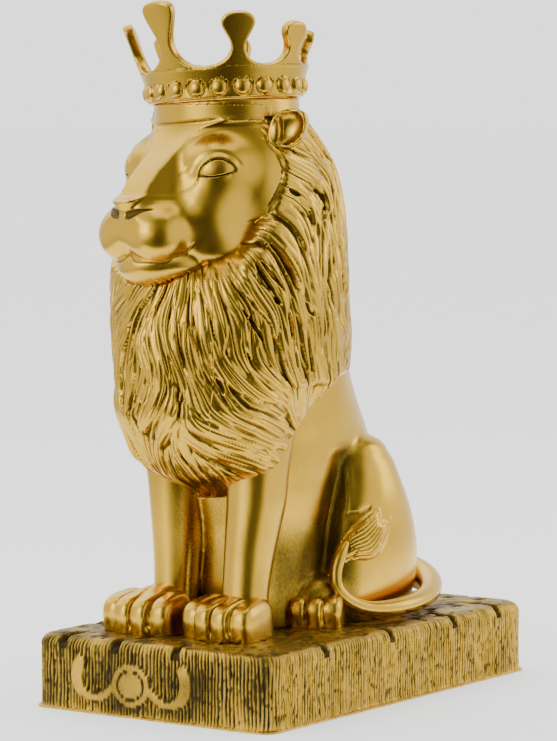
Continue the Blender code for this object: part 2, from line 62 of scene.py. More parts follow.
# Rows of sizes made into smooth, closely sampled columns; the first number of a row is where it lies
def smoothRows(rows, count=240):
    rows = np.array(rows, float)
    keys = rows[:, 0]
    at = np.linspace(keys[0], keys[-1], count)
    slopes = np.gradient(rows, keys, axis=0)
    index = np.clip(np.searchsorted(keys, at) - 1, 0, len(keys) - 2)
    span = keys[index + 1] - keys[index]
    t = ((at - keys[index]) / span)[:, None]
    a, b = rows[index], rows[index + 1]
    m, n = slopes[index] * span[:, None], slopes[index + 1] * span[:, None]
    out = (2 * t**3 - 3 * t**2 + 1) * a + (t**3 - 2 * t**2 + t) * m
    out += (-2 * t**3 + 3 * t**2) * b + (t**3 - t**2) * n
    return np.column_stack((at, out[:, 1:]))


def smoothPath(points, steps=6):
    points = np.array(points, float)
    keys = np.arange(len(points), dtype=float)
    return smoothRows(np.column_stack((keys, points)), (len(points) - 1) * steps + 1)[:, 1:]


def ease(value, low, high):
    t = np.clip((value - low) / (high - low), 0.0, 1.0)
    return t * t * (3 - 2 * t)


def fromTable(value, table):
    return np.interp(value, *np.array(table, float).T)


# Two coordinates seen in axes turned by an angle in radians
def turned(a, b, angle):
    c, s = math.cos(angle), math.sin(angle)
    return a * c + b * s, b * c - a * s


# Distances to simple forms, in millimetres: below zero is inside
def meld(a, b, softness):
    h = np.clip(0.5 + 0.5 * (b - a) / softness, 0.0, 1.0)
    return b + (a - b) * h - softness * h * (1 - h)


def carve(a, b, softness):
    return -meld(-a, b, softness)


def ball(p, centre, radii, turn=0.0, nod=0.0, square=2.0):
    x, y, z = p[0] - centre[0], p[1] - centre[1], p[2] - centre[2]
    x, y = turned(x, y, math.radians(turn))
    y, z = turned(y, z, math.radians(nod))
    a, b, c = radii
    if square == 2.0:
        k = np.sqrt((x / a)**2 + (y / b)**2 + (z / c)**2)
        slope = np.sqrt((x / a**2)**2 + (y / b**2)**2 + (z / c**2)**2)
        return k * (k - 1.0) / np.maximum(slope, 1e-6)
    x, y, z = np.abs(x / a), np.abs(y / b), np.abs(z / c)
    k = np.maximum((x**square + y**square + z**square)**(1.0 / square), 1e-4)
    lower = square - 1.0
    slope = np.sqrt((x**lower / a)**2 + (y**lower / b)**2 + (z**lower / c)**2) * k**(1.0 - square)
    return (k - 1.0) / np.maximum(slope, 0.5 / max(radii))


def column(p, rows, square=2.0, side=1.0):
    z = p[2]
    keys = rows[:, 0]
    cx, cy, a, b = (np.interp(z, keys, rows[:, i]) for i in (1, 2, 3, 4))
    dx, dy = np.abs(p[0] - side * cx), np.abs(p[1] - cy)
    k = ((dx / a)**square + (dy / b)**square)**(1.0 / square)
    k = np.maximum(k, 1e-4)
    slope = np.hypot((dx / a)**(square - 1) / a, (dy / b)**(square - 1) / b) * k**(1.0 - square)
    flat = (k - 1.0) / np.maximum(slope, 1.0 / (2.0 * np.maximum(a, b)))
    ends = np.maximum(z - keys[-1], keys[0] - z)
    return np.where(ends > 0, np.hypot(np.maximum(flat, 0), ends), flat)


def rope(p, path):
    out = np.full(p[0].shape, 1e3)
    low, high = path[:, :3].min(0) - 14, path[:, :3].max(0) + 14
    close = np.ones(p[0].shape, bool)
    for i in range(3):
        close &= (p[i] > low[i]) & (p[i] < high[i])
    if not close.any():
        return out
    q = [v[close] for v in p]
    best = np.full(q[0].shape, 1e3)
    for a, b in zip(path[:-1], path[1:]):
        d = b[:3] - a[:3]
        rel = [q[i] - a[i] for i in range(3)]
        t = np.clip(sum(rel[i] * d[i] for i in range(3)) / max(d @ d, 1e-9), 0.0, 1.0)
        off = [rel[i] - t * d[i] for i in range(3)]
        gap = np.sqrt(off[0]**2 + off[1]**2 + off[2]**2) - (a[3] + t * (b[3] - a[3]))
        best = np.minimum(best, gap)
    out[close] = best
    return out


def lineGap(u, v, points):
    points = np.array(points, float)
    best = np.full(u.shape, 1e3)
    for a, b in zip(points[:-1], points[1:]):
        d = b - a
        t = np.clip(((u - a[0]) * d[0] + (v - a[1]) * d[1]) / (d @ d), 0.0, 1.0)
        best = np.minimum(best, np.hypot(u - a[0] - t * d[0], v - a[1] - t * d[1]))
    return best


def valueNoise(u, v, seed):
    size = 64
    table = np.random.RandomState(seed).uniform(-1, 1, (size, size))
    i, j = np.floor(u).astype(int), np.floor(v).astype(int)
    fu, fv = u - i, v - j
    fu, fv = fu * fu * (3 - 2 * fu), fv * fv * (3 - 2 * fv)
    a, b = table[i % size, j % size], table[(i + 1) % size, j % size]
    c, d = table[i % size, (j + 1) % size], table[(i + 1) % size, (j + 1) % size]
    return (a * (1 - fu) + b * fu) * (1 - fv) + (c * (1 - fu) + d * fu) * fv


# Noise added up from rows of amount, how fast it runs across and up, and seed
def waves(u, v, rows):
    return sum(amount * valueNoise(u * across, v * up, seed) for amount, across, up, seed in rows)


# A skin over a distance: sparse blocks, one point per crossed cell, settled on the true surface
def skin(distance, low, high, cell):
    block, batch = 8, 1500  # cells along the edge of a block, blocks measured at once
    low = np.array(low, float)
    blocks = [int(math.ceil((high[i] - low[i]) / cell / block)) for i in range(3)]
    size = [n * block + 1 for n in blocks]
    centres = [low[i] + cell * block * (np.arange(blocks[i]) + 0.5) for i in range(3)]
    mid = np.meshgrid(*centres, indexing="ij")
    rough = distance([v.ravel() for v in mid]).reshape(blocks)
    keep = np.argwhere(np.abs(rough) < cell * block * 1.35 + 1.0)
    field = np.repeat(np.repeat(np.repeat(rough, block, 0), block, 1), block, 2)
    field = np.pad(field, ((0, 1), (0, 1), (0, 1)), mode="edge").astype(np.float32)
    step = np.arange(block + 1)
    offsets = np.stack(np.meshgrid(step, step, step, indexing="ij"), -1).reshape(-1, 3)
    for start in range(0, len(keep), batch):
        part = (keep[start:start + batch, None, :] * block + offsets[None]).reshape(-1, 3)
        value = distance([low[i] + cell * part[:, i] for i in range(3)])
        field[part[:, 0], part[:, 1], part[:, 2]] = value
    inside = field < 0
    corners = [(i, j, k) for i in (0, 1) for j in (0, 1) for k in (0, 1)]
    count = np.zeros([n - 1 for n in size], np.uint8)
    for i, j, k in corners:
        count += inside[i:size[0] - 1 + i, j:size[1] - 1 + j, k:size[2] - 1 + k]
    cells = np.argwhere((count > 0) & (count < 8))
    number = np.full(count.shape, -1, np.int64)
    number[tuple(cells.T)] = np.arange(len(cells))
    total = np.zeros((len(cells), 3))
    crossings = np.zeros(len(cells))
    for first in corners:
        for axis in range(3):
            if first[axis]:
                continue
            second = list(first)
            second[axis] = 1
            a = field[tuple((cells + first).T)]
            b = field[tuple((cells + second).T)]
            hit = (a < 0) != (b < 0)
            t = a[hit] / (a[hit] - b[hit])
            spot = np.tile(np.array(first, float), (hit.sum(), 1))
            spot[:, axis] = t
            total[hit] += spot
            crossings[hit] += 1
    points = low + cell * (cells + total / crossings[:, None])
    quads = []
    for axis in range(3):
        u, v = (axis + 1) % 3, (axis + 2) % 3
        lead = [slice(None)] * 3
        tail = [slice(None)] * 3
        lead[axis], tail[axis] = slice(0, -1), slice(1, None)
        edges = np.argwhere(inside[tuple(lead)] != inside[tuple(tail)])
        fits = np.ones(len(edges), bool)
        for other in (u, v):
            fits &= (edges[:, other] > 0) & (edges[:, other] < size[other] - 1)
        edges = edges[fits]
        around = []
        for du, dv in ((1, 1), (0, 1), (0, 0), (1, 0)):
            spot = edges.copy()
            spot[:, u] -= du
            spot[:, v] -= dv
            around.append(number[tuple(spot.T)])
        around = np.stack(around, 1)
        flip = ~inside[tuple(edges.T)]
        around[flip] = around[flip][:, ::-1]
        quads.append(around)
    quads = np.concatenate(quads)
    for turn in range(2):
        value, slope = valueAndSlope(distance, points)
        move = np.clip(value, -cell, cell)[:, None] * slope
        points = points - move
        if turn == 0:
            points = relax(points, quads, 0.5)
    return points, quads, valueAndSlope(distance, points)[1]


def valueAndSlope(distance, points, reach=0.25):
    p = [points[:, i] for i in range(3)]
    value = distance(p)
    slope = np.empty_like(points)
    for i in range(3):
        more, less = list(p), list(p)
        more[i], less[i] = p[i] + reach, p[i] - reach
        slope[:, i] = (distance(more) - distance(less)) / (2 * reach)
    length = np.maximum(np.linalg.norm(slope, axis=1), 1e-6)
    return value / np.maximum(length, 0.35), slope / length[:, None]


def relax(points, quads, amount):
    total = np.zeros_like(points)
    count = np.zeros(len(points))
    for a, b in ((0, 1), (1, 2), (2, 3), (3, 0)):
        for i, j in ((a, b), (b, a)):
            for axis in range(3):
                total[:, axis] += np.bincount(quads[:, i], points[quads[:, j], axis], len(points))
            count += np.bincount(quads[:, i], minlength=len(points))
    return points + amount * (total / np.maximum(count, 1)[:, None] - points)


# How crowded the space over each point is, within three reaches that each have their share; pieces use it
# as painted shade in their crevices
def crowding(distance, points, slopes):
    dark = np.zeros(len(points))
    for reach, share in ((1.0, 0.45), (2.2, 0.35), (4.5, 0.2)):
        away = points + slopes * reach
        gap = distance([away[:, i] for i in range(3)])
        dark += share * np.clip(1.0 - gap / reach, 0.0, 1.0)
    return dark


# A sum or product in a node tree: each side is a socket or a number
def mathNode(tree, operation, a, b):
    step = tree.nodes.new("ShaderNodeMath")
    step.operation = operation
    for i, source in enumerate((a, b)):
        if isinstance(source, float):
            step.inputs[i].default_value = source
        else:
            tree.links.new(source, step.inputs[i])
    return step.outputs["Value"]


# Gold paint over a cast: satin on the high places, brown and then near black where painted shade and grime
# darken it, with random blotches and specks; less metallic and rougher where it is darkest
def goldPaint(name, look):
    material = bpy.data.materials.new(name)
    material.use_nodes = True
    tree = material.node_tree
    nodes, links = tree.nodes, tree.links
    shader = nodes["Principled BSDF"]
    shader.inputs["Specular IOR Level"].default_value = look["sheen"]
    where = nodes.new("ShaderNodeTexCoord")

    def noiseAt(scale, detail, roughness=0.55):
        noise = nodes.new("ShaderNodeTexNoise")
        noise.inputs["Scale"].default_value = scale
        noise.inputs["Detail"].default_value = detail
        noise.inputs["Roughness"].default_value = roughness
        links.new(where.outputs["Object"], noise.inputs["Vector"])
        return noise.outputs["Fac"]

    def ranged(source, low, high, outLow=0.0, outHigh=1.0):
        step = nodes.new("ShaderNodeMapRange")
        for key, value in (("From Min", low), ("From Max", high), ("To Min", outLow), ("To Max", outHigh)):
            step.inputs[key].default_value = value
        links.new(source, step.inputs["Value"])
        return step.outputs["Result"]

    def mixed(amount, a, b):
        step = nodes.new("ShaderNodeMix")
        step.data_type = "RGBA"
        links.new(amount, step.inputs["Factor"])
        for key, source in (("A", a), ("B", b)):
            socket = next(s for s in step.inputs if s.name == key and s.type == "RGBA")
            if isinstance(source, tuple):
                socket.default_value = (*source, 1.0)
            else:
                links.new(source, socket)
        return next(s for s in step.outputs if s.type == "RGBA")

    shadeAndGrime = nodes.new("ShaderNodeAttribute")
    shadeAndGrime.attribute_name = "shadeAndGrime"
    blotch = noiseAt(look["blotchScale"], 5.0)
    speck = noiseAt(look["speckScale"], 3.0, 0.7)
    shade = mixed(ranged(blotch, 0.35, 0.65), look["gold"], look["goldDeep"])
    coarse, fine = ranged(blotch, 0.3, 0.7, -0.08, 0.08), ranged(speck, 0.3, 0.7, -0.06, 0.06)
    washAndShade = mathNode(tree, "ADD", shadeAndGrime.outputs["Fac"], mathNode(tree, "ADD", coarse, fine))
    washedAndShaded = mixed(ranged(washAndShade, look["washShadeFrom"], look["washShadeTo"]), shade, look["washAndShade"])
    dirtyAndShadowed = mixed(ranged(washAndShade, look["dirtShadowFrom"], look["dirtShadowTo"]), washedAndShaded, look["dirtAndShadow"])
    links.new(dirtyAndShadowed, shader.inputs["Base Color"])
    links.new(ranged(washAndShade, look["dirtShadowFrom"], look["dirtShadowTo"], 1.0, 0.35), shader.inputs["Metallic"])
    satin = ranged(speck, 0.25, 0.75, look["roughLow"], look["roughHigh"])
    links.new(mathNode(tree, "ADD", satin, ranged(washAndShade, 0.35, 0.9, 0.0, 0.3)), shader.inputs["Roughness"])
    bump = nodes.new("ShaderNodeBump")
    bump.inputs["Strength"].default_value = look["bump"]
    bump.inputs["Distance"].default_value = look["depth"]
    grain = noiseAt(look["grainScale"], 4.0, 0.6)
    dents = mathNode(tree, "MULTIPLY", blotch, look["dent"])
    links.new(mathNode(tree, "ADD", grain, dents), bump.inputs["Height"])
    links.new(bump.outputs["Normal"], shader.inputs["Normal"])
    return material


# Colours of the gold, and of the brown and near black that painted shade and grime turn it to
satinLook = {
    "gold": (0.73, 0.442, 0.043), "goldDeep": (0.62, 0.374, 0.033),
    "washAndShade": (0.145, 0.100, 0.012), "dirtAndShadow": (0.055, 0.031, 0.006),
    "washShadeFrom": 0.24, "washShadeTo": 0.72, "dirtShadowFrom": 0.56, "dirtShadowTo": 1.0,
    "roughLow": 0.21, "roughHigh": 0.27,
    "blotchScale": 38.0, "speckScale": 900.0, "grainScale": 1500.0, "dent": 0.6, "bump": 0.10,
    "depth": 0.0004, "sheen": 0.12,
}
plinthLook = dict(satinLook)
plinthLook.update({
    "gold": (0.62, 0.38, 0.046), "goldDeep": (0.50, 0.30, 0.032), "washAndShade": (0.16, 0.108, 0.015),
    "dirtAndShadow": (0.050, 0.034, 0.012), "washShadeFrom": 0.20, "washShadeTo": 0.70, "dirtShadowFrom": 0.55, "dirtShadowTo": 1.0,
    "roughLow": 0.26, "roughHigh": 0.42, "blotchScale": 90.0, "grainScale": 700.0, "bump": 0.45,
})
# For each node of the frame: its paint and the name of its slot
paints = {
    "lion": (goldPaint("lion_gold_paint", satinLook), "lion_gold"),
    "crown": (goldPaint("crown_gold_paint", satinLook), "crown_gold"),
    "plinth": (goldPaint("plinth_gold_paint", plinthLook), "plinth_gold"),
}
print("gold paints mixed")


# Every piece is darkened by its painted shade and grime, rides on the root and stands in for a node
def placePiece(name, mesh, shadeAndGrime, node):
    paint, slot = paints[node]
    mesh.shade_smooth()
    layer = mesh.attributes.new("shadeAndGrime", "FLOAT", "POINT")
    layer.data.foreach_set("value", np.clip(shadeAndGrime, 0, 1).astype(np.float32))
    mesh.materials.append(paint)
    piece = bpy.data.objects.new(name, mesh)
    bpy.context.scene.collection.objects.link(piece)
    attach(piece, "root")
    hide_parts(node)
    triangles = sum(len(face.vertices) - 2 for face in mesh.polygons)
    print(f"{name}: {len(mesh.vertices)} points, {triangles} triangles")
    return piece


# A piece carved as a distance; painted shade darkens what crowds together, by the share, and the shade
# function paints more shade
def makeSkin(name, distance, box, cell, node, share, shade=None):
    points, quads, slopes = skin(distance, *box, cell)
    shadeAndGrime = share * crowding(distance, points, slopes)
    if shade is not None:
        shadeAndGrime = np.maximum(shadeAndGrime, shade(points))
    mesh = bpy.data.meshes.new(name)
    mesh.from_pydata((points + lionPlace) * mm, [], quads)
    mesh.validate()
    placePiece(name, mesh, shadeAndGrime, node)


# The body: rows are height, x, y, half width, half depth
body = {
    "cell": 1.30,
    "torso": (
        (-4, 0, 24, 26, 42), (9, 0, 24, 27, 44), (24, 0, 22, 28, 46), (42, 0, 17, 29, 47),
        (59, 0, 8, 30, 47), (77, 0, -2, 31.5, 46), (101, 0, -14, 33, 42), (125, 0, -22, 34, 40),
        (150, 0, -28, 33, 38), (175, 0, -34, 30, 33), (190, 0, -38, 26, 28)),
    "belly": (
        (-4, 0, -22, 25, 28), (15, 0, -22, 26, 28.5), (40, 0, -20, 27.5, 31), (60, 0, -20, 30, 36),
        (80, 0, -16, 31, 42), (96, 0, -16, 26, 38)),
    "haunch": (
        (-4, 27.5, 15, 13, 25), (9, 27.5, 17.5, 15.5, 33), (24, 28, 19.7, 17, 31.5), (42, 28, 19, 17, 27),
        (59, 27, 17.4, 15.5, 20), (70, 26, 16, 13, 15.5), (77, 25.5, 15, 8.5, 10), (80, 25, 14, 3, 4)),
    "leftForeleg": (
        (2, 20.4, -61.3, 10.1, 11.1), (17, 20.4, -60.4, 9.4, 10.2), (30, 20.4, -58.1, 9.8, 11.2),
        (43, 20.9, -55.8, 10.7, 12.6), (55, 21.4, -53.8, 11.7, 13.6), (68, 21.4, -52.8, 12.5, 14.0),
        (90, 22, -51, 14, 17), (115, 22, -46, 16, 22)),
    "rightForeleg": (
        (2, -20, -56, 9.6, 10.6), (19, -20, -54.5, 9.2, 10.2), (30, -20, -53.6, 9.8, 11.2),
        (47, -20, -53, 11, 13), (60, -20, -53, 12, 14), (90, -22, -51, 14, 17), (115, -22, -46, 16, 22)),
    "knee": ((27, -12, 9), (11, 18, 12)),  # middle and radii
    # The hollow, crease and fold at the thigh: across and height as the side shows them, width, depth
    "thigh": (
        (((22.2, 70), (19.6, 58), (18.2, 44), (17.0, 24)), 3.4, 2.1),
        (((25.4, 45.8), (29.6, 45.8), (35.0, 48.2)), 1.0, 1.0),
        (((24.7, 65), (25.5, 55), (25.3, 46.5)), 1.1, -0.9)),
    # The painted shade: line and width of the hollow, then how dark the painted shade is in the hollow, on
    # the flank and on the chest
    "shadeLine": ((24.5, 72), (23.0, 58), (21.5, 44), (20.0, 8)), "shadeWidth": 6.0,
    "shades": (0.72, 0.62, 0.44),
    "box": ((-52, -80, -4), (52, 72, 168)),
}
rows = {key: smoothRows(body[key]) for key in ("torso", "belly", "haunch", "leftForeleg", "rightForeleg")}
seen = (math.cos(math.radians(34.8)), math.sin(math.radians(34.8)))  # the way across, as the side shows


def bodyForm(p):
    x, y, z = p
    (kneeX, kneeY, kneeZ), kneeRadii = body["knee"]
    trunk = meld(column(p, rows["torso"]), column(p, rows["belly"], 2.4), 5.0)
    for side in (1.0, -1.0):
        trunk = meld(trunk, column(p, rows["haunch"], 2.1, side), 3.2)
        trunk = meld(trunk, ball(p, (side * kneeX, kneeY, kneeZ), kneeRadii), 2.5)
    for leg in ("leftForeleg", "rightForeleg"):
        trunk = meld(trunk, column(p, rows[leg], 2.2), 1.2)
    across = seen[0] * np.abs(x) + seen[1] * y
    outer = ease(np.abs(x), 14.0, 20.0) * ease(y, -32, -26)
    cuts = sum(depth * np.exp(-(lineGap(across, z, line) / width)**2)
               for line, width, depth in body["thigh"])
    return trunk + outer * cuts


def bodyDistance(p):
    return np.maximum(bodyForm(p), -1.0 - p[2])


# Painted shade in the hollows before the thighs, low on the flanks and on the chest between the legs
def bodyShade(points):
    x, y, z = points.T
    across = seen[0] * np.abs(x) + seen[1] * y
    hollowDark, flankDark, chestDark = body["shades"]
    gap = lineGap(across, z, body["shadeLine"]) / body["shadeWidth"]
    hollow = hollowDark * np.exp(-gap**2) * ease(np.abs(x), 12, 20) * ease(y, -34, -24)
    flank = flankDark * ease(60 - z, 0, 30) * ease(y, -47, -39) * ease(2 - y, 0, 9)
    flank = flank * ease(np.abs(x), 10, 16)
    chest = chestDark * ease(12 - np.abs(x), -6, 2) * ease(70 - z, 0, 14) * ease(-y, 30, 38)
    return np.maximum(np.maximum(hollow, flank), chest)


makeSkin("body", bodyDistance, body["box"], body["cell"], "lion", 0.85, bodyShade)


# The paws: long toes side by side, cut by narrow lines
paws = {
    "cell": 0.80,
    "toeSides": (-11.6, -4.0, 4.0, 11.6), "toeForward": (3.8, 0.8, 0.8, 3.8), "lines": (-7.9, 0.0, 7.9),
    # x, y, turn in degrees, size, length of the heel
    "places": ((19, -84.5, 0, 1.0, 14), (-20, -88.5, 0, 1.0, 18), (31.5, -32.5, 22, 0.86, 12),
               (-31.5, -32.5, -22, 0.86, 12)),
    # The pad's middle and radii, the heel's middle, half width and half height, a toe's radii and nod
    "pad": ((0, 18, 4), (13.0, 14, 8.5)), "heel": ((0, 21, 8), 11.5, 10.5), "toe": (5.7, 12.4, 11.2),
    "toeNod": 9, "lineDepth": 0.9, "lineWidth": 0.5,
    "box": ((-50, -107, -3), (50, -2, 22)),
}


def pawsDistance(p):
    joined = np.full(p[0].shape, 1e3)
    heelPlace, heelWide, heelTall = paws["heel"]
    for x, y, turn, size, heel in paws["places"]:
        right, back = turned(p[0] - x, p[1] - y, math.radians(turn))
        q = [right / size, back / size, p[2] / size]
        paw = ball(q, *paws["pad"])
        paw = meld(paw, ball(q, heelPlace, (heelWide, heel, heelTall)), 2.0)
        for toe, (side, forward) in enumerate(zip(paws["toeSides"], paws["toeForward"])):
            lean = 3.5 * (toe - 1.5)
            place = (side, forward + 10.6, 4.6)
            paw = meld(paw, ball(q, place, paws["toe"], lean, paws["toeNod"], 3.2), 1.2)
        for line in paws["lines"]:
            off = np.abs(q[0] - line - 0.06 * line * (8 - q[1]) / 8) / paws["lineWidth"]
            paw = paw + paws["lineDepth"] * np.exp(-off**2) * ease(19 - q[1], 0, 6) * ease(q[2], 0.5, 4)
        joined = meld(joined, paw * size, 0.8)
    return np.maximum(joined, -1.0 - p[2])


makeSkin("paws", pawsDistance, paws["box"], paws["cell"], "lion", 0.6)


# The tail: along the ground behind and beside the haunch, up over it, and out into a flat tuft
tail = {
    "cell": 0.66,
    "path": (
        (4, 62, 15, 8), (18, 64.5, 13.5, 7.5), (31, 61, 11.5, 6.4), (41, 52, 9.5, 5.4),
        (47.5, 40, 7.4, 4.7), (50.5, 27, 6, 4.2), (50.8, 14, 5.3, 3.8), (48.5, 3, 5.1, 3.5),
        (45, -6, 6.2, 3.2), (41, -13, 9.8, 2.9), (38, -17.0, 15.5, 2.7), (37.0, -17.0, 22.5, 2.7),
        (37.4, -14.4, 29.0, 2.7), (38.0, -11.0, 34, 1.6)),
    "box": ((-6, -24, -2), (58, 75, 54)),
    # The tuft as it lies on the thigh, seen from its side: across, height
    "tuft": (
        (16.4, 19.5), (17.6, 25.5), (20.4, 31.5), (24.1, 37.1), (26.8, 40.9), (31.5, 44.6), (36.1, 47.6),
        (40.9, 49.4), (41.9, 43.4), (43.1, 43.0), (45.6, 45.4), (45.0, 38.5), (43.1, 32.0), (40.7, 28.0),
        (37.5, 25.9), (33.8, 25.3), (28.4, 26.2), (23.6, 24.2), (20.6, 19.5)),
    "upperStrand": ((18.6, 25), (25.4, 37.5), (32.5, 43.2), (40.6, 49.0)),
    "lowerStrand": ((20.5, 23.0), (30, 27.2), (38, 28.2), (44.6, 40)),
    "strands": 9, "thickness": 2.5, "cutDepth": 0.7, "cutWidth": 0.40,
}
tailPath = smoothPath(tail["path"], 8)


def insideShape(u, v, outline):
    inside = np.zeros(u.shape, bool)
    for (a, b), (c, d) in zip(outline, outline[1:] + outline[:1]):
        if b == d:
            continue
        cross = (v > b) != (v > d)
        inside ^= cross & (u < (c - a) * (v - b) / (d - b) + a)
    return inside


def tailDistance(p):
    cord = rope(p, tailPath)
    across = seen[0] * p[0] + seen[1] * p[1]
    near = (across > 16) & (across < 50) & (p[2] > 18) & (p[2] < 54) & (p[0] > 26)
    leaf = np.full(p[0].shape, 1e3)
    if near.any():
        u, v = across[near], p[2][near]
        q = [axis[near] for axis in p]
        edge = lineGap(u, v, tail["tuft"] + tail["tuft"][:1])
        inward = np.where(insideShape(u, v, tail["tuft"]), edge, -edge)
        top, low = smoothPath(tail["upperStrand"], 4), smoothPath(tail["lowerStrand"], 4)
        cuts = np.full(u.shape, 1e3)
        for share in np.linspace(0.06, 0.95, tail["strands"]):
            cuts = np.minimum(cuts, lineGap(u, v, top * (1 - share) + low * share))
        under = bodyForm(q)
        cutIn = tail["cutDepth"] * np.exp(-(cuts / tail["cutWidth"])**2) * ease(inward, 0.2, 1.4)
        thick = tail["thickness"] * ease(inward, -0.3, 4.0) - cutIn - 0.15
        leaf[near] = np.maximum(np.maximum(under - thick, -under - 2.0), -inward)
    return np.maximum(meld(cord, leaf, 1.6), -1.0 - p[2])


makeSkin("tail", tailDistance, tail["box"], tail["cell"], "lion", 0.8)


# The head, in its own axes: side, forward, height from the soles
head = {
    "eye": {"side": 28.4, "height": 194.0, "turn": 46.0, "nod": -2.0, "roll": 9.0,
            "wide": 7.9, "top": 5.9, "low": 1.2, "bulge": 0.6, "radius": 11.5,
            # The lid and the fold over it: rise, distance from the eye, width, then where they fade in
            "lids": ((0.30, 0.9, 0.6, -1.0, 1.5), (-0.35, 2.6, 0.9, 0.5, 3.0))},
    # Rounded forms melded one after another: centre, radii, softness
    "skull": (((0, -2, 189), (40, 36.5, 39), 0), ((17, 21, 195), (15.5, 15.5, 15), 6.0),
              ((15, 25, 177), (15.5, 17, 15), 8.0), ((15, 18, 163), (17, 21, 12), 7.0)),
    "jaw": (((0, 30.5, 156.5), (21, 25, 10), 0), ((0, 42, 155), (14.5, 13.4, 8.8), 3.0)),
    "muzzle": (((0, 37, 170.5), (20.5, 23, 13), 0), ((9.5, 46.5, 168.4), (12, 13.3, 12.4), 4.0)),
    # The crest of the bridge: height and how far forward
    "bridge": ((176, 56), (182, 55.2), (184.3, 54.0), (187, 52.3), (190, 50.2), (195.6, 45.0),
               (200.5, 39.4), (205.7, 33.0), (212.3, 26.5), (216, 22)),
    # The nose seen from above, then the height of its top at the tip, how that slopes, and its lower end
    "nose": {"wide": 8.0, "deep": 11.2, "forward": 50.5, "top": 182.5, "tip": 61.0, "slope": 0.27,
             "bottom": 174.0},
    # The ear: a rounded shell with a cup in it and a fold beside the cup
    "ear": {"place": (40.3, 2.5, 212.5), "out": (0.55, 0.83, 0.10), "wide": 7.7, "tall": 8.1, "lean": 0.22,
            "reach": 7.4, "back": 1.6, "thick": 2.2, "edge": 1.2, "cup": 7.4,
            "fold": ((-5.2, -0.4, -1.2), (2.6, 2.4, 5.6))},
    # Radius, level under the crown and half height of the band and of the neck that carries it, then the
    # middle and the radii of the dome inside the crown
    "band": (30.0, 4.2, 3.4), "neck": (28.4, 12.0, 10.0), "dome": ((0, 0, -2.0), (28.0, 28.0, 10.5)),
    # Half width of the bridge at each height, and on up as the line where the hair of the brow begins
    "edge": ((180, 6.8), (184.3, 7.8), (190, 7.6), (195.6, 7.5), (200.5, 7.9), (205.7, 9.5), (209, 11.5),
             (212.3, 14.2), (214.8, 20.9), (218, 28.0), (221, 38.0)),
    # Lines cut in the face: side and height of each point, then width
    "mouth": (((0.0, 161.6), (2.0, 159.6), (4.3, 157.6), (10.7, 157.0), (15.3, 157.5), (18.0, 159.6),
               (20.6, 162.6), (22.4, 165.2)), 0.45),
    "tear": (((22.6, 193.4), (21.4, 190.6), (19.1, 187.8), (15.8, 185.9)), 0.38),
    "fold": (((13.2, 192.8), (15.6, 196.3), (17.6, 197.4)), 0.3),
    # Scratches in the hair over the brow: signed side and height of each point, then width
    "browCuts": (
        (((2.6, 218.2), (2.4, 216.2)), 0.32), (((8.0, 217.4), (6.0, 212.2)), 0.38),
        (((-0.6, 215.9), (1.6, 213.3)), 0.32), (((-11.4, 216.2), (-7.1, 212.6), (-1.0, 208.9)), 0.40),
        (((10.6, 218.6), (10.2, 216.2)), 0.32), (((-17.8, 217.0), (-13.6, 213.0), (-8.5, 209.6)), 0.42),
        (((13.6, 218.6), (12.6, 216.2)), 0.30), (((21.0, 219.0), (17.8, 216.8), (13.5, 214.7)), 0.36),
        (((29.0, 215.2), (25.6, 213.8), (21.5, 212.4)), 0.36),
        (((27.0, 219.4), (22.0, 217.4), (18.5, 216.4)), 0.30), (((33.0, 219.0), (28.0, 217.6)), 0.30),
        (((-5.0, 218.6), (-4.2, 214.6)), 0.30),
        (((-22.0, 218.6), (-19.0, 215.0), (-16.0, 213.0)), 0.34), (((5.2, 219.0), (4.4, 217.0)), 0.28),
        (((16.6, 218.8), (14.6, 216.8)), 0.30), (((-26.5, 217.5), (-22.5, 214.0)), 0.32)),
    # The cleft under the nose and the nostril: side, forward, height, half width
    "cleft": ((1.0, 60.8, 176.0, 0.3), (1.0, 60.6, 169.0, 0.5), (1.0, 59.6, 162.6, 1.0)),
    "nostril": ((2.2, 60.6, 175.2, 1.2), (4.0, 60.0, 177.0, 2.2), (6.6, 58.6, 178.0, 1.8),
                (9.4, 56.0, 178.8, 0.7), (12.6, 52.8, 178.9, 0.25)),
    "cell": 0.52, "skullCell": 1.20,
    "faceBox": ((-54, -112, 138), (54, -26, 226)), "skullBox": ((-54, -90, 138), (54, 2, 236)),
}
turnHead = stance["headTurn"]


def toHead(p):
    side, back = turned(p[0] - stance["headPlace"][0], p[1] - stance["headPlace"][1], turnHead)
    return side, -back, p[2]


def crownAxes(p):
    x, y, z = (p[i] - stance["crownPlace"][i] for i in range(3))
    x, z = turned(x, z, -stance["crownLean"])
    return *turned(x, y, stance["crownTurn"]), z


def bridgeForm(a, b, c):
    crest = fromTable(c, head["bridge"])
    half = fromTable(c, head["edge"])
    top = 0.74 * (b - crest)
    flank = 0.80 * (a - half) + 0.44 * (b - crest)
    ends = np.maximum(178.0 - c, c - 216.0)
    return np.maximum(np.maximum(-meld(-top, -flank, 1.0), ends), 8.0 - b)


def noseForm(a, b, c):
    nose = head["nose"]
    plan = ((a / nose["wide"])**2.6 + (np.abs(b - nose["forward"]) / nose["deep"])**2.6)**(1 / 2.6)
    plan = (plan - 1) * 8.6
    top = c - (nose["top"] + nose["slope"] * (nose["tip"] - b))
    side = plan + 0.42 * np.clip(-top, 0, 6)
    return np.maximum(-meld(-side, -top, 0.9), nose["bottom"] - c)


def melded(q, balls):
    form = ball(q, *balls[0][:2])
    for centre, radii, softness in balls[1:]:
        form = meld(form, ball(q, centre, radii), softness)
    return form


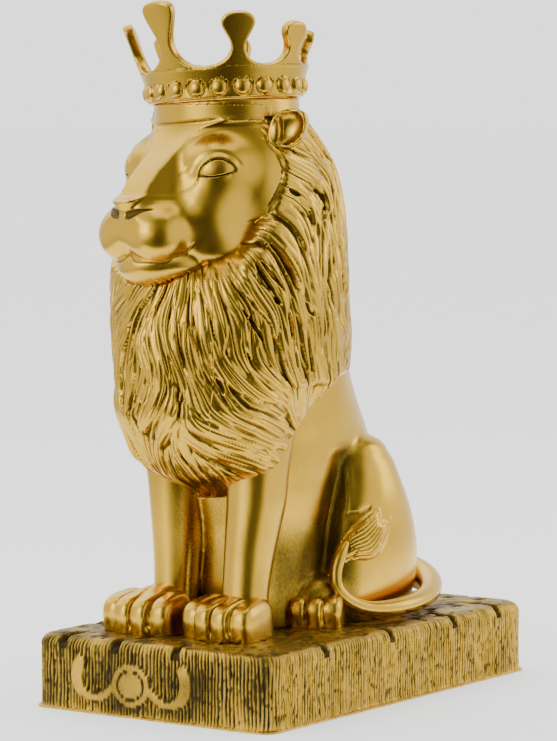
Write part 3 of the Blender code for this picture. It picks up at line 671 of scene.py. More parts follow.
def faceForm(q):
    a, b, c = q
    skull = meld(melded(q, head["skull"]), bridgeForm(a, b, c), 4.5)
    face = meld(meld(skull, melded(q, head["muzzle"]), 6.0), melded(q, head["jaw"]), 2.2)
    face = meld(face, noseForm(a, b, c), 1.3)
    edge = fromTable(c, head["edge"])
    step = 0.45 * ease(c, 200, 215) * ease(a - edge, -0.4, 0.6)
    return face + step * ease(b, 4, 10)


def onFace(side, height):
    low, high = np.full(1, 5.0), np.full(1, 80.0)
    for _ in range(24):
        middle = (low + high) / 2
        inside = faceForm([np.full(1, side), middle, np.full(1, height)]) < 0
        low, high = np.where(inside, middle, low), np.where(inside, high, middle)
    return float(low[0])


def faceLine(points, width, steps=6):
    flat = smoothPath(points, steps)
    ends = np.sin(np.linspace(0.12, 0.94, len(flat)) * math.pi)**0.6
    return np.array([(a, onFace(max(abs(a), 1.4), c), c, width * end) for (a, c), end in zip(flat, ends)])


cleftPath, nostrilPath = np.array(head["cleft"]), np.array(head["nostril"])
facePaths = [faceLine(*head[key]) for key in ("mouth", "tear", "fold")]
browPaths = [faceLine(points, 1.5 * width, 3) for points, width in head["browCuts"]]
eyeForward = onFace(head["eye"]["side"], head["eye"]["height"])


def eyeAxes(a, b, c):
    eye = head["eye"]
    turn, nod, roll = (math.radians(eye[key]) for key in ("turn", "nod", "roll"))
    u, n = turned(a - eye["side"], b - eyeForward, -turn)
    n, v = turned(n, c - eye["height"], -nod)
    u, v = turned(u, v, roll)
    return u, n, v


def lensGap(u, v, wide, top, low):
    high = (wide**2 + top**2) / (2 * top)
    deep = (wide**2 + low**2) / (2 * low)
    above = np.hypot(u, v - (top - high)) - high
    below = np.hypot(u, v + (low - deep)) - deep
    return np.maximum(above, below)


def earForm(q):
    ear = head["ear"]
    out = np.array(ear["out"]) / np.linalg.norm(ear["out"])
    across = np.array((out[1], -out[0], 0)) / math.hypot(out[0], out[1])
    upward = np.cross(across, out)
    rel = [q[i] - ear["place"][i] for i in range(3)]
    depth, wide, tall = (sum(rel[i] * way[i] for i in range(3)) for way in (out, across, upward))
    lean = wide - ear["lean"] * tall
    reach = ((np.abs(lean) / ear["wide"])**2.5 + (np.abs(tall) / ear["tall"])**2.5)**(1 / 2.5) * 8.6
    flat = np.maximum(np.abs(depth + ear["back"]) - ear["thick"], 0)
    shell = np.hypot(np.maximum(reach - ear["reach"], 0), flat) - ear["edge"]
    cup = np.sqrt((lean + 0.2)**2 + (tall * 0.94 + 0.2)**2 + (depth - 3.4)**2 * 1.3) - ear["cup"]
    shell = carve(shell, cup, 0.8)
    return meld(shell, ball([wide, depth, tall], *ear["fold"]), 1.6)


def headForm(p):
    side, b, c = toHead(p)
    a = np.sqrt(side**2 + 1.0)
    q = [a, b, c]
    face = faceForm(q)
    eye = head["eye"]
    u, n, v = eyeAxes(a, b, c)
    lens = lensGap(u, v, eye["wide"], eye["top"], eye["low"])
    close = (np.abs(n) < 9) & (a > 8)
    lid = sum(rise * np.exp(-((lens - away) / wide)**2) * ease(v, low, high)
              for rise, away, wide, low, high in eye["lids"])
    face = face - np.where(close, lid, 0.0)
    socket = np.maximum(lens, -2.6 - n)
    face = carve(face, np.where(close, socket, 9.0), 0.15)
    globe = ball([u, n, v], (0.0, eye["bulge"] - eye["radius"], 1.2), (eye["radius"],) * 3)
    face = meld(face, globe, 0.1)
    rim = np.maximum(np.abs(lens + 0.10) - 0.30, -1.7 - n)
    face = carve(face, np.where(close & (n < 3), rim, 9.0), 0.15)
    for path in facePaths:
        face = carve(face, rope(q, path), 0.35)
    for path in browPaths:
        face = carve(face, rope([side, b, c], path), 0.35)
    face = carve(face, rope(q, cleftPath), 0.8)
    face = carve(face, rope(q, nostrilPath), 0.5)
    face = meld(face, earForm(q), 1.2)
    bx, by, bz = crownAxes(p)
    ring = np.hypot(bx, by)
    radius, drop, half = head["band"]
    band = np.hypot(np.maximum(ring - radius, 0), np.maximum(np.abs(bz + drop) - half, 0)) - 0.9
    radius, drop, half = head["neck"]
    neck = np.maximum(ring - radius, np.abs(bz + drop) - half)
    face = meld(meld(face, neck, 6.0), band, 0.8)
    centre, radii = head["dome"]
    dome = np.maximum(ball([bx, by, bz], centre, radii), ring - radii[0])
    return np.minimum(np.maximum(face, bz), dome), b


# Painted shade in the lines of the eyes, mouth, nostrils and brow, and a little over the eye
def faceShade(points):
    side, b, c = toHead([points[:, i] for i in range(3)])
    q = [np.sqrt(side**2 + 1.0), b, c]
    gap = rope(q, nostrilPath)
    gap = np.minimum(gap, rope(q, facePaths[0]) + 0.12)
    for path in browPaths:
        gap = np.minimum(gap, rope([side, b, c], path) + 0.25)
    dark = np.exp(-(np.maximum(gap, 0.0) / 0.24)**2)
    eye = head["eye"]
    u, n, v = eyeAxes(*q)
    lens = lensGap(u, v, eye["wide"], eye["top"], eye["low"])
    rim = np.exp(-(np.maximum(np.abs(lens + 0.1) - 0.22, 0.0) / 0.2)**2)
    rim = rim * (0.45 + 0.45 * ease(v, 0.0, 2.5))
    corner = np.exp(-((np.abs(u) - eye["wide"] + 0.5)**2 + v**2) / 1.5)
    arch = 0.62 * np.exp(-((q[0] - 18.0) / 8.0)**2 - ((c - 208.0) / 4.5)**2) * ease(b, 4, 10)
    eyeDark = np.where((np.abs(n) < 6) & (q[0] > 8), np.maximum(rim, corner), 0.0)
    return 0.78 * np.maximum(np.maximum(dark, arch), eyeDark)


def faceDistance(p):
    form, forward = headForm(p)
    return np.maximum(np.maximum(form, 3.0 - forward), p[2] - 222.5)


def skullDistance(p):
    form, forward = headForm(p)
    return np.minimum(np.maximum(form, forward - 6.0), np.maximum(form, 221.5 - p[2]))


makeSkin("face", faceDistance, head["faceBox"], head["cell"], "lion", 0.75, faceShade)
makeSkin("skull", skullDistance, head["skullBox"], head["skullCell"], "lion", 1.0)


# The mane: rows are height, y, half width, half depth; strands are pressed on it one by one
mane = {
    "form": (
        (56, -55, 12, 9), (64, -55, 29, 22), (72, -53.5, 36, 32), (82, -50, 40, 42), (94, -46.5, 44, 51.5),
        (106, -42.5, 46.3, 55.2), (123, -42, 47.3, 56.8), (140, -43, 47.3, 55.8), (155, -43, 47.3, 55.3),
        (170, -38, 45.2, 48.6), (185, -34, 42.4, 41.4), (198, -33, 38.7, 36.2), (210, -38, 34.5, 32),
        (221, -43, 29, 27.5)),
    "sides": ((56, 33.5), (80, 35.6), (92, 37.8), (104, 44), (114, 60)),  # height, width of the flat sides
    "skull": (0.4, -44, 189, 41.3, 37.8, 40.5),  # the form under the hair: its middle and its half sizes
    # Round the face: degrees from the way it looks, height
    "faceEdge": ((-12, 147), (12, 147), (33, 154), (46, 160), (54, 166), (56.5, 173), (59, 179), (60, 188),
                 (59, 195), (56, 201), (55, 207), (54, 214), (52, 224), (-12, 224)),
    "hairTop": ((0, 146), (12, 147), (33, 154), (46, 160), (54, 166), (60, 185), (70, 205), (80, 221)),
    "chinGap": ((-60, 0), (-45, 0), (-30, 3), (-12, 5.5), (10, 7), (24, 11), (36, 9), (45, 6), (52, 2),
                (62, 0)),
    "hairEnd": ((-180, 104), (-104, 103), (-90, 88), (-76, 78), (-60, 74), (-48, 70), (-32, 64), (0, 61),
                (25, 62), (48, 64), (70, 65), (84, 67), (88, 71), (94, 84), (100, 95), (106, 103),
                (180, 104)),
    # The way the hair runs: degrees round the mane, height
    "runs": (
        ((-25, 142), (-41, 132), (-50, 118)), ((-11, 145), (-23, 133), (-33, 123), (-36, 112)),
        ((-5, 143), (-13, 135), (-15, 125), (-20, 113)),
        ((-1, 144), (-5, 134), (-7, 124), (-2, 116), (0, 107)),
        ((5, 145), (1, 134), (4, 125), (8, 114), (10, 105)),
        ((12, 145), (10, 134), (12, 125), (15, 117), (22, 105), (26, 97)),
        ((19, 146), (19, 135), (19, 125), (22, 113), (30, 103)),
        ((25, 146), (28, 137), (30, 125), (34, 114), (40, 106)),
        ((30, 149), (34, 139), (37, 129), (39, 118), (46, 110), (57, 103), (74, 97)),
        ((37, 154), (41, 145), (47, 137), (48, 129), (48, 121), (52, 113), (65, 104), (78, 97)),
        ((43, 156), (50, 149), (54, 143), (60, 136), (61, 128), (65, 118), (71, 107), (79, 98)),
        ((46, 167), (56, 160), (64, 151), (68, 143), (71, 131), (73, 117), (79, 106)),
        ((53, 169), (64, 164), (75, 156), (80, 144), (85, 133), (86, 117), (92, 103)),
        ((89, 167), (90, 150), (94, 132), (95, 116), (101, 105)),
        ((22, 101), (30, 93), (42, 88), (60, 82), (84, 77)), ((40, 106), (49, 98), (60, 95), (78, 91)),
        ((42, 112), (50, 105), (62, 99), (77, 94)), ((18, 84), (33, 78), (48, 74), (70, 70)),
        ((28, 88), (42, 84), (57, 80), (76, 76)), ((17, 105), (16, 95), (9, 88), (-1, 82)),
        ((8, 111), (4, 101), (-2, 93), (-15, 84)), ((-8, 111), (-14, 101), (-20, 92), (-17, 84)),
        ((-22, 110), (-26, 100), (-28, 90), (-22, 83)), ((-7, 81), (-10, 73), (-12, 66)),
        ((13, 78), (18, 72), (21, 66)),
        ((43, 210), (51, 205), (62, 201), (84, 196), (94, 191), (98, 186), (97, 178)),
        ((43, 207), (47, 205), (52, 203)),
        ((45, 195), (54, 192), (65, 189), (77, 186), (83, 183), (87, 172)),
        ((48, 188), (57, 185), (68, 182), (77, 178), (84, 172), (87, 166)),
        ((47, 185), (53, 184), (65, 181), (74, 175), (80, 168)),
        ((55, 180), (64, 177), (72, 172), (78, 164)),
        ((51, 178), (58, 175), (68, 169), (74, 162)), ((44, 170), (50, 171), (56, 169), (62, 164)),
        ((98, 205), (106, 197), (113, 190)), ((100, 188), (100, 180), (103, 172), (107, 160)),
        ((120, 215), (122, 190), (124, 160), (122, 130), (124, 106)),
        ((150, 216), (148, 180), (152, 140), (150, 106)), ((180, 216), (182, 180), (178, 140), (180, 106))),
    # Locks that stand out: path, half width, height above the rest
    "bigLocks": (
        (((44, 207), (52, 201), (63, 197), (82, 192), (91, 187), (94, 180), (89, 174)), 4.4, 1.5),
        (((45, 192), (56, 189), (68, 186), (78, 181), (83, 172)), 3.6, 0.9),
        (((47, 183), (58, 180), (68, 175), (76, 167), (80, 158)), 3.8, 1.1),
        (((48, 173), (58, 170), (68, 163), (75, 153), (78, 143)), 3.8, 1.3),
        (((44, 163), (55, 159), (63, 150), (67, 141), (68, 130)), 3.4, 0.9),
        (((42, 156), (50, 148), (56, 141), (61, 134), (62, 125)), 3.8, 1.4),
        (((36, 153), (41, 143), (46, 136), (47, 127), (50, 118)), 3.6, 1.2),
        (((32, 124), (36, 116), (43, 109), (54, 103), (68, 98)), 4.0, 1.2),
        (((18, 98), (22, 92), (32, 87), (46, 82), (62, 78)), 4.2, 1.0),
        (((10, 104), (10, 94), (4, 86), (-4, 79)), 4.6, 0.9),
        (((-6, 133), (-8, 121), (-3, 112), (2, 100)), 3.4, 1.0),
        (((-20, 128), (-28, 117), (-30, 104), (-25, 92)), 3.4, 1.1)),
    # Deep slots between locks, dark inside: path
    "slots": (
        ((54, 158), (60, 153), (66, 146)), ((56, 165), (64, 160), (71, 152), (75, 145)),
        ((61, 143), (65, 140)),
        ((68, 137), (70, 131), (70, 125)), ((80, 140), (84, 134)), ((90, 181), (88, 176)),
        ((-16, 104), (-15, 94), (-13, 86)), ((33, 110), (38, 103)), ((58, 187), (68, 184)),
        ((45, 139), (52, 131), (56, 124))),
    "slotWidth": 1.25, "slotDepth": 2.2,
    "fineFrom": -48.0, "middle": 32.0, "fineTo": 112.0,  # the parts that the photograph shows are finer
    "fineStep": 0.363, "coarseStep": 1.013, "rowStep": 0.546,
    "meanRadius": 50.0,
    # Strands: how many, least height over the end, top, length from and to, sway, width from and to,
    # level from and to, crest
    "strands": ((520, 2, 226, 26, 52, 0.10, 0.8, 1.6, -1.7, -0.5, 1.0),
                (480, 8, 224, 24, 55, 0.16, 1.8, 4.2, -1.6, 0.0, 1.2)),
    "grooveSeeds": 9000, "grooveSpacing": 2.1, "grooveNet": 2.0,
    # Steps to each side of a groove's seed, their length, how near others may be, and the fewest points
    "grooveSteps": (8, 26), "grooveStep": 0.9, "grooveNear": 0.62, "grooveLeast": 6,
    "flowTurn": 4.0, "flowRow": 3.0,  # the coarse grid of the hair's direction: degrees, height
    "mirror": 21.8,  # degrees from the left side's runs to the right side's: twice the turn of the head
    "sink": (6.0, 9.0),  # how deep the mane's end goes under the body, and how much deeper at the side
    "seed": 11,
}
maneRows = smoothRows(mane["form"], 400)
maneRadius = mane["meanRadius"]
maneCircle = 2 * math.pi * maneRadius
faceEdge = [(degrees * 0.8, height) for degrees, height in mane["faceEdge"]]


def liftOver(x, y, oval, share):
    cx, cy, a, b = oval
    under = np.hypot((x - cx) / a, (y - cy) / b)
    lift = np.where(under < 1.0, 1.0 / np.maximum(under, 0.3) - 1.0, 0.0) * share
    return x + (x - cx) * lift, y + (y - cy) * lift


def maneSurface(turn, height, extra):
    y, a, b = (np.interp(height, maneRows[:, 0], maneRows[:, i]) for i in (1, 2, 3))
    degrees = np.degrees(turn)
    side = np.abs(degrees - math.degrees(turnHead))
    top = fromTable(side, mane["hairTop"])
    gap = fromTable(degrees, mane["chinGap"]) * np.clip((height - top + 32) / 32, 0, 1.15)**1.7
    x = (a - gap) * np.sin(turn)
    yy = y - (b - gap) * np.cos(turn)
    x = np.sign(x) * meld(np.abs(x), fromTable(height, mane["sides"]), 3.0)
    size = np.hypot(np.sin(turn) / a, np.cos(turn) / b)
    nx, ny = np.sin(turn) / a / size, -np.cos(turn) / b / size
    # Over the skull and the shoulders the hair lies on the form under it
    middleX, middleY, level, halfX, halfY, halfZ = mane["skull"]
    share = np.sqrt(np.maximum(1 - ((height - level) / halfZ)**2, 0.02))
    x, yy = liftOver(x, yy, (middleX, middleY, halfX * share, halfY * share), 1.0)
    torso = [np.interp(height, rows["torso"][:, 0], rows["torso"][:, i]) for i in (1, 2, 3, 4)]
    x, yy = liftOver(x, yy, torso, ease(height, 90, 106))
    edge = lineGap(side * 0.8, height, faceEdge)
    hair = np.where(insideShape(side * 0.8, height, faceEdge), -edge, edge)
    extra = extra * (0.45 + 0.55 * ease(hair, 0, 7)) - 1.2 * (1 - ease(hair, 0, 6)) * ease(height, 168, 180)
    extra = extra - 15.0 * ease(-hair, 0.0, 5.0)
    return x + nx * extra, yy + ny * extra


# A line of degrees and heights, unrolled from the mane and smoothed
def unrolled(degrees, heights, steps):
    return smoothPath(np.column_stack((np.radians(degrees) * maneRadius, heights)), steps)


# The direction of the hair, on a coarse grid round the mane, from the runs
def hairFlow():
    runs = [np.array(run, float) for run in mane["runs"]]
    for run in list(runs):
        if run[:, 0].min() >= 42:
            over = -mane["mirror"] * ease(run[:, 1], 90, 150)
            runs.append(np.column_stack((over - run[:, 0], run[:, 1])))
    middles, ways = [], []
    for run in runs:
        flat = unrolled(run[:, 0], run[:, 1], 4)
        step = np.diff(flat, axis=0)
        ways.append(step / np.linalg.norm(step, axis=1)[:, None])
        middles.append((flat[1:] + flat[:-1]) / 2)
    middles, ways = np.concatenate(middles), np.concatenate(ways)
    turns = np.radians(np.arange(-180, 181, mane["flowTurn"])) * maneRadius
    heights = np.arange(54, 226, mane["flowRow"])
    u, v = np.meshgrid(turns, heights, indexing="ij")
    total = np.zeros(u.shape + (2,))
    for (mu, mv), way in zip(middles, ways):
        du = np.abs(u - mu)
        du = np.minimum(du, maneCircle - du)
        weight = 1.0 / (du**2 + (v - mv)**2 + 3.0)**1.7
        total += weight[..., None] * way
    total /= np.linalg.norm(total, axis=-1)[..., None]
    return turns, heights, total


flowTurns, flowHeights, flowWays = hairFlow()


def wayOfHair(across, height):
    across = (across - flowTurns[0]) % maneCircle
    i = min(int(across / (flowTurns[1] - flowTurns[0])), len(flowTurns) - 2)
    level = (height - flowHeights[0]) / mane["flowRow"]
    j = min(max(int(level), 0), len(flowHeights) - 2)
    s = across / (flowTurns[1] - flowTurns[0]) - i
    t = min(max(level - j, 0.0), 1.0)
    a = flowWays[i, j] * (1 - s) + flowWays[i + 1, j] * s
    b = flowWays[i, j + 1] * (1 - s) + flowWays[i + 1, j + 1] * s
    return a * (1 - t) + b * t


def strandPath(across, height, length, sway, phase):
    steps = max(6, int(length / 2.6))
    points = [(across, height)]
    for step in range(steps):
        way = wayOfHair(across, height)
        bend = sway * math.sin(phase + 5.0 * step / steps)
        c, s = math.cos(bend), math.sin(bend)
        across += length / steps * (way[0] * c - way[1] * s)
        height += length / steps * (way[1] * c + way[0] * s)
        points.append((across, height))
    return np.array(points)


def nearPath(u, v, path):
    best = np.full(u.shape, 1e6)
    offset, along = np.zeros(u.shape), np.zeros(u.shape)
    count = len(path) - 1
    for i in range(count):
        d = path[i + 1] - path[i]
        ru, rv = u - path[i, 0], v - path[i, 1]
        t = np.clip((ru * d[0] + rv * d[1]) / (d @ d), 0, 1)
        gap = (ru - t * d[0])**2 + (rv - t * d[1])**2
        take = gap < best
        best = np.where(take, gap, best)
        offset = np.where(take, ru * d[1] - rv * d[0], offset)
        along = np.where(take, (i + t) / count, along)
    gap = np.sqrt(best)
    return gap, np.sign(offset) * gap, along


# The part of the relief round a path, and where its points are
def windowOf(across, heights, path, margin):
    low, high = path.min(0) - margin, path.max(0) + margin
    left, right = np.searchsorted(across, (low[0], high[0]))
    under, above = np.searchsorted(heights, (low[1], high[1]))
    if left >= right or under >= above:
        return None
    part = slice(left, right), slice(under, above)
    return (part, *np.meshgrid(across[part[0]], heights[part[1]], indexing="ij"))


# One strand or lock raised from the relief, round across and thinner at its ends
def press(relief, across, heights, path, width, level, crest):
    window = windowOf(across, heights, path, width + 1)
    if window is None:
        return
    part, u, v = window
    _, offset, along = nearPath(u, v, path)
    wide = width * np.minimum(1.0, 0.45 + 2.4 * along) * np.maximum(1 - along**2.6, 0)**0.8 + 0.12
    side = offset / wide
    form = np.sqrt(np.maximum(1 - side**2, 0))
    ends = 1.1 * (1 - ease(along, 0.0, 0.22)) + 0.8 * ease(along, 0.82, 1.0)
    value = level + crest * form - ends
    relief[part] = np.where(np.abs(side) < 1, np.maximum(relief[part], value), relief[part])


def cutSlot(relief, across, heights, points, width, depth):
    path = unrolled(points[:, 0], points[:, 1], 5)
    part, u, v = windowOf(across, heights, path, width + 1)
    gap, _, along = nearPath(u, v, path)
    wide = width * np.sin(np.clip(along, 0.02, 0.98) * math.pi)**0.7
    relief[part] -= depth * np.clip(1 - gap / wide, 0, 1)**0.8


# Grooves evenly spread along the hair: each stops before it meets another
def spreadGrooves(rand):
    net = mane["grooveNet"]
    places, grooves = {}, []

    def clear(u, v, gap):
        i, j = int(u // net), int(v // net)
        for di in (-2, -1, 0, 1, 2):
            for dj in (-2, -1, 0, 1, 2):
                for pu, pv in places.get((i + di, j + dj), ()):
                    if (pu - u)**2 + (pv - v)**2 < gap * gap:
                        return False
        return True

    seeds = np.column_stack((rand.uniform(-maneCircle / 2, maneCircle / 2, mane["grooveSeeds"]),
                             rand.uniform(60, 221, mane["grooveSeeds"])))
    uneven = valueNoise(seeds[:, 0] * 0.11 + 50, seeds[:, 1] * 0.06 + 50, 17)
    spacing = mane["grooveSpacing"] * (1 + 0.42 * uneven)
    for (u, v), gap in zip(seeds, spacing):
        if not clear(u, v, gap):
            continue
        whole = [(u, v)]
        for sign in (1, -1):
            pu, pv = u, v
            line = []
            for _ in range(rand.randint(*mane["grooveSteps"])):
                way = wayOfHair(pu, pv) * sign
                pu, pv = pu + way[0] * mane["grooveStep"], pv + way[1] * mane["grooveStep"]
                if not 57 < pv < 222 or not clear(pu, pv, gap * mane["grooveNear"]):
                    break
                line.append((pu, pv))
            whole = whole + line if sign > 0 else line[::-1] + whole
        if len(whole) < mane["grooveLeast"]:
            continue
        for pu, pv in whole:
            for shift in (-maneCircle, 0.0, maneCircle):
                places.setdefault((int((pu + shift) // net), int(pv // net)), []).append((pu + shift, pv))
        thinned = whole[::2] if len(whole) % 2 else whole[::2] + [whole[-1]]
        grooves.append(np.array(thinned))
    return grooves


def blurred(grid, reach):
    out = grid.copy()
    for axis, steps in ((0, reach[0]), (1, reach[1])):
        total = np.zeros_like(out)
        for shift in range(-steps, steps + 1):
            total += np.roll(out, shift, axis)
        out = total / (2 * steps + 1)
    return out


# Strands all over, then the locks that stand out, on both sides where they lie at the side
def pressHair(relief, across, heights, rand):
    strands = []
    for count, margin, top, short, long, sway, thin, wide, low, high, crest in mane["strands"]:
        for _ in range(count):
            turn = rand.uniform(-180, 180)
            end = fromTable(turn, mane["hairEnd"])
            strands.append((turn, rand.uniform(end + margin, top), rand.uniform(short, long), sway,
                            rand.uniform(thin, wide), rand.uniform(low, high), crest))
    for turn, start, length, sway, width, level, crest in strands:
        path = strandPath(math.radians(turn) * maneRadius, start, length, sway, rand.uniform(0, 6.3))
        for shift in (-maneCircle, 0.0, maneCircle):
            press(relief, across, heights, path + (shift, 0.0), width, level, crest)
    for path, width, level in mane["bigLocks"]:
        path = np.array(path, float)
        for mirrored in ((False, True) if path[:, 0].min() > 40 else (False,)):
            degrees = 360 - mane["mirror"] - path[:, 0] if mirrored else path[:, 0]
            press(relief, across, heights, unrolled(degrees, path[:, 1], 4), width, level - 0.8, 1.2)
    print("mane:", len(strands), "strands pressed")


# How far every point is from the nearest groove, and how deep that groove is
def nearestGrooves(across, heights, rand):
    grooves = spreadGrooves(rand)
    nearest = np.full((len(across), len(heights)), 9.0)
    depth = np.zeros(nearest.shape)
    for path in grooves:
        deep = rand.uniform(0.55, 1.25)
        for shift in (-maneCircle, 0.0, maneCircle):
            window = windowOf(across, heights, path + (shift, 0.0), 1.2)
            if window is None:
                continue
            part, u, v = window
            gap, _, along = nearPath(u, v, path + (shift, 0.0))
            closer = gap < nearest[part]
            taper = np.sin(np.clip(along, 0.03, 0.97) * math.pi)**0.5
            depth[part] = np.where(closer, deep * taper, depth[part])
            nearest[part] = np.where(closer, gap, nearest[part])
    print("mane:", len(grooves), "grooves cut")
    return nearest, depth


# A wedge of the mane, closed by its core line, underneath and on top
def makeWedge(name, points, shadeAndGrime, core):
    block = np.concatenate((points, core[None]))
    dark = np.concatenate((shadeAndGrime, np.zeros((1, len(core)))))
    n, m = block.shape[:2]
    grid = np.arange(n * m).reshape(n, m)
    after = np.roll(grid, -1, axis=0)
    quads = np.stack((grid[:, :-1], after[:, :-1], after[:, 1:], grid[:, 1:]), -1).reshape(-1, 4)
    faces = [tuple(quad) for quad in quads]
    for level, flip in ((0, True), (m - 1, False)):
        rim, middle = grid[:-1, level], grid[-1, level]
        for a, b in zip(rim[:-1], rim[1:]):
            faces.append((b, a, middle) if flip else (a, b, middle))
    mesh = bpy.data.meshes.new(name)
    mesh.from_pydata((block.reshape(-1, 3) + lionPlace) * mm, [], faces)
    placePiece(name, mesh, dark.ravel(), "lion")


def buildMane():
    rand = np.random.RandomState(mane["seed"])
    fine, coarse = (math.degrees(mane[key] / maneRadius) for key in ("fineStep", "coarseStep"))
    runs = ((mane["fineFrom"], mane["middle"], fine), (mane["middle"], mane["fineTo"], fine),
            (mane["fineTo"], mane["fineFrom"] + 360, coarse))
    columns = [np.linspace(a, b, int((b - a) / step) + 1)[:-1] for a, b, step in runs]
    turns = np.radians(np.concatenate(columns))
    heights = np.arange(mane["form"][0][0], mane["form"][-1][0] + 0.1, mane["rowStep"])
    across = turns * maneRadius
    relief = np.full((len(turns), len(heights)), -1.5)
    pressHair(relief, across, heights, rand)
    nearest, depth = nearestGrooves(across, heights, rand)
    t = np.clip(1 - nearest, 0, 1)
    relief = relief - depth * (0.30 * t + 0.70 * t**3)
    for slot in mane["slots"]:
        cutSlot(relief, across, heights, np.array(slot, float), mane["slotWidth"], mane["slotDepth"])
    # Painted shade in the hollows of the relief, and a dark painted line of shade along each groove
    near, far = blurred(relief, (4, 2)), blurred(relief, (13, 6))
    line = np.clip(1 - nearest / 0.65, 0, 1) * np.clip(depth, 0, 1)
    shadeAndGrime = 0.5 * np.clip((near - relief) / 0.7, 0, 1) + 0.4 * np.clip((far - relief) / 1.8, 0, 1)
    shadeAndGrime = shadeAndGrime + 0.65 * line
    # The relief fades and sinks under the body at the end of the hair, and is lower under the crown
    turnGrid, heightGrid = np.meshgrid(turns, heights, indexing="ij")
    signed = np.remainder(np.degrees(turnGrid) + 180, 360) - 180
    end = fromTable(signed, mane["hairEnd"])
    fade = ease(heightGrid, end - 4, end + 6)
    sink = mane["sink"][0] + mane["sink"][1] * ease(np.abs(signed), 80, 90)
    relief = relief * (0.35 + 0.65 * fade) - sink * (1 - fade)
    relief = relief * (1 - 0.6 * ease(heightGrid, 205, 221))
    wrapped = np.remainder(turnGrid + math.pi, 2 * math.pi) - math.pi
    points = np.stack((*maneSurface(wrapped, heightGrid, relief), heightGrid), -1)
    core = np.stack((np.full(len(heights), 0.0), maneRows[0, 1] + 0 * heights, heights), -1)
    start = 0
    for name, column in zip(("mane_front", "mane_side", "mane_back"), columns):
        index = np.arange(start, start + len(column) + 1) % len(turns)
        makeWedge(name, points[index], shadeAndGrime[index], core)
        start += len(column)


buildMane()


# The crown, in its own axes: the first prong is in front, the two behind are plain stumps
crown = {
    "cell": 0.60,
    "radius": 33.0, "wall": 4.3, "band": 12.8, "flare": math.tan(math.radians(18.0)),
    # Degrees from the front, height, width of the stem and of the head
    "prongs": ((0, 28.0, 6.2, 16.0), (48.6, 21.7, 6.0, 14.8), (90.7, 17.4, 6.4, 14.0),
               (148.3, 15.3, 6.0, 13.0), (205.6, 14.2, 5.2, 7.0), (263.1, 16.5, 5.2, 6.4),
               (305.3, 20.8, 9.0, 14.0)),
    "cap": 4.0, "stemShare": 0.36,  # height of the rounded top, share of the height taken by the arch
    "beads": 21, "beadRadius": 3.6, "beadProud": 2.5, "beadHeight": 4.6,
    "box": ((-52, -98, 215), (54, 8, 272)),
}


def prongHalfWidth(rise, tall, slim, head, reach):
    stemRise, headRise = crown["stemShare"] * tall, tall - crown["cap"]
    stem, wide = slim / 2, head / 2
    fall = np.clip(1 - rise / stemRise, 0, 1)
    arch = reach - (reach - stem) * np.sqrt(np.maximum(1 - fall**2, 0))
    t = np.clip((rise - stemRise) / (headRise - stemRise), 0, 1)
    club = stem + (wide - stem) * (0.25 * t + 0.75 * t * t * (3 - 2 * t))
    s = np.clip((rise - headRise) / (tall - headRise), 0, 1)
    cap = wide * np.maximum(1 - s**2.4, 0)**(1 / 2.4)
    return np.where(rise < stemRise, arch, np.where(rise < headRise, club, cap))


def prongOutline(tall, slim, head, reach):
    stemRise, headRise = crown["stemShare"] * tall, tall - crown["cap"]
    capRises = headRise + crown["cap"] * np.sin(np.linspace(0.15, math.pi / 2, 9))
    rises = np.concatenate((np.linspace(0, stemRise, 14), np.linspace(0.37 * tall, headRise, 10), capRises))
    return np.column_stack((prongHalfWidth(rises, tall, slim, head, reach), rises))


# How far outside the outline of the prongs and arches a point lies, along the wall
def prongGap(angle, outer, level):
    prongs = crown["prongs"]
    flat = np.full(angle.shape, 1e3)
    for index, (degrees, tall, slim, head) in enumerate(prongs):
        away = np.remainder(angle - math.radians(degrees) + math.pi, 2 * math.pi) - math.pi
        for sign, other in ((1, prongs[(index + 1) % len(prongs)]), (-1, prongs[index - 1])):
            half = math.radians((sign * (other[0] - degrees)) % 360) / 2
            mine = (sign * away >= 0) & (sign * away <= half)
            if not mine.any():
                continue
            u, v = np.abs(away[mine]) * outer[mine], level[mine]
            reach = half * float(np.median(outer[mine]))
            gap = lineGap(u, v, prongOutline(tall, slim, head, reach))
            inside = (v < tall) & (u < prongHalfWidth(np.maximum(v, 0), tall, slim, head, reach)) | (v < 0)
            gap = np.where(v < 0, np.minimum(gap, -v + 0.2), gap)
            flat[mine] = np.where(inside, -gap, gap)
    return flat


def crownDistance(p):
    x, y, z = crownAxes(p)
    z = z - 0.3
    ring = np.hypot(x, y)
    angle = np.arctan2(x, -y)
    outer = crown["radius"] + crown["flare"] * np.maximum(z - crown["beadHeight"], 0)
    lean = math.atan(crown["flare"])
    wall = (np.abs(ring - outer + crown["wall"] / 2) - crown["wall"] / 2) * math.cos(lean)
    # The edges of the prongs stand square on the sloping wall
    level = z - crown["band"] - math.sin(lean) * np.clip(outer - ring, 0, crown["wall"])
    flat = np.maximum(prongGap(angle, outer, level), -z)
    shell = -meld(-wall, -flat, 1.1)
    step = 2 * math.pi / crown["beads"]
    around = (angle - np.round(angle / step) * step) * crown["radius"]
    spot = np.hypot(around, z - crown["beadHeight"])
    proud = ring - (crown["radius"] - 0.2)
    ditch = np.hypot(spot - (crown["beadRadius"] + 0.3), proud - 0.5) - 0.42
    shell = carve(shell, ditch, 0.3)
    rise = crown["beadProud"]
    bead = (np.sqrt((spot / crown["beadRadius"])**2 + (proud / rise)**2) - 1) * rise
    return meld(shell, np.maximum(bead, -proud - 2.0), 0.3)


# The crown is darkened with painted shade where its parts crowd together, round the beads and under the
# prongs
makeSkin("crown_ring", crownDistance, crown["box"], crown["cell"], "crown", 0.55)


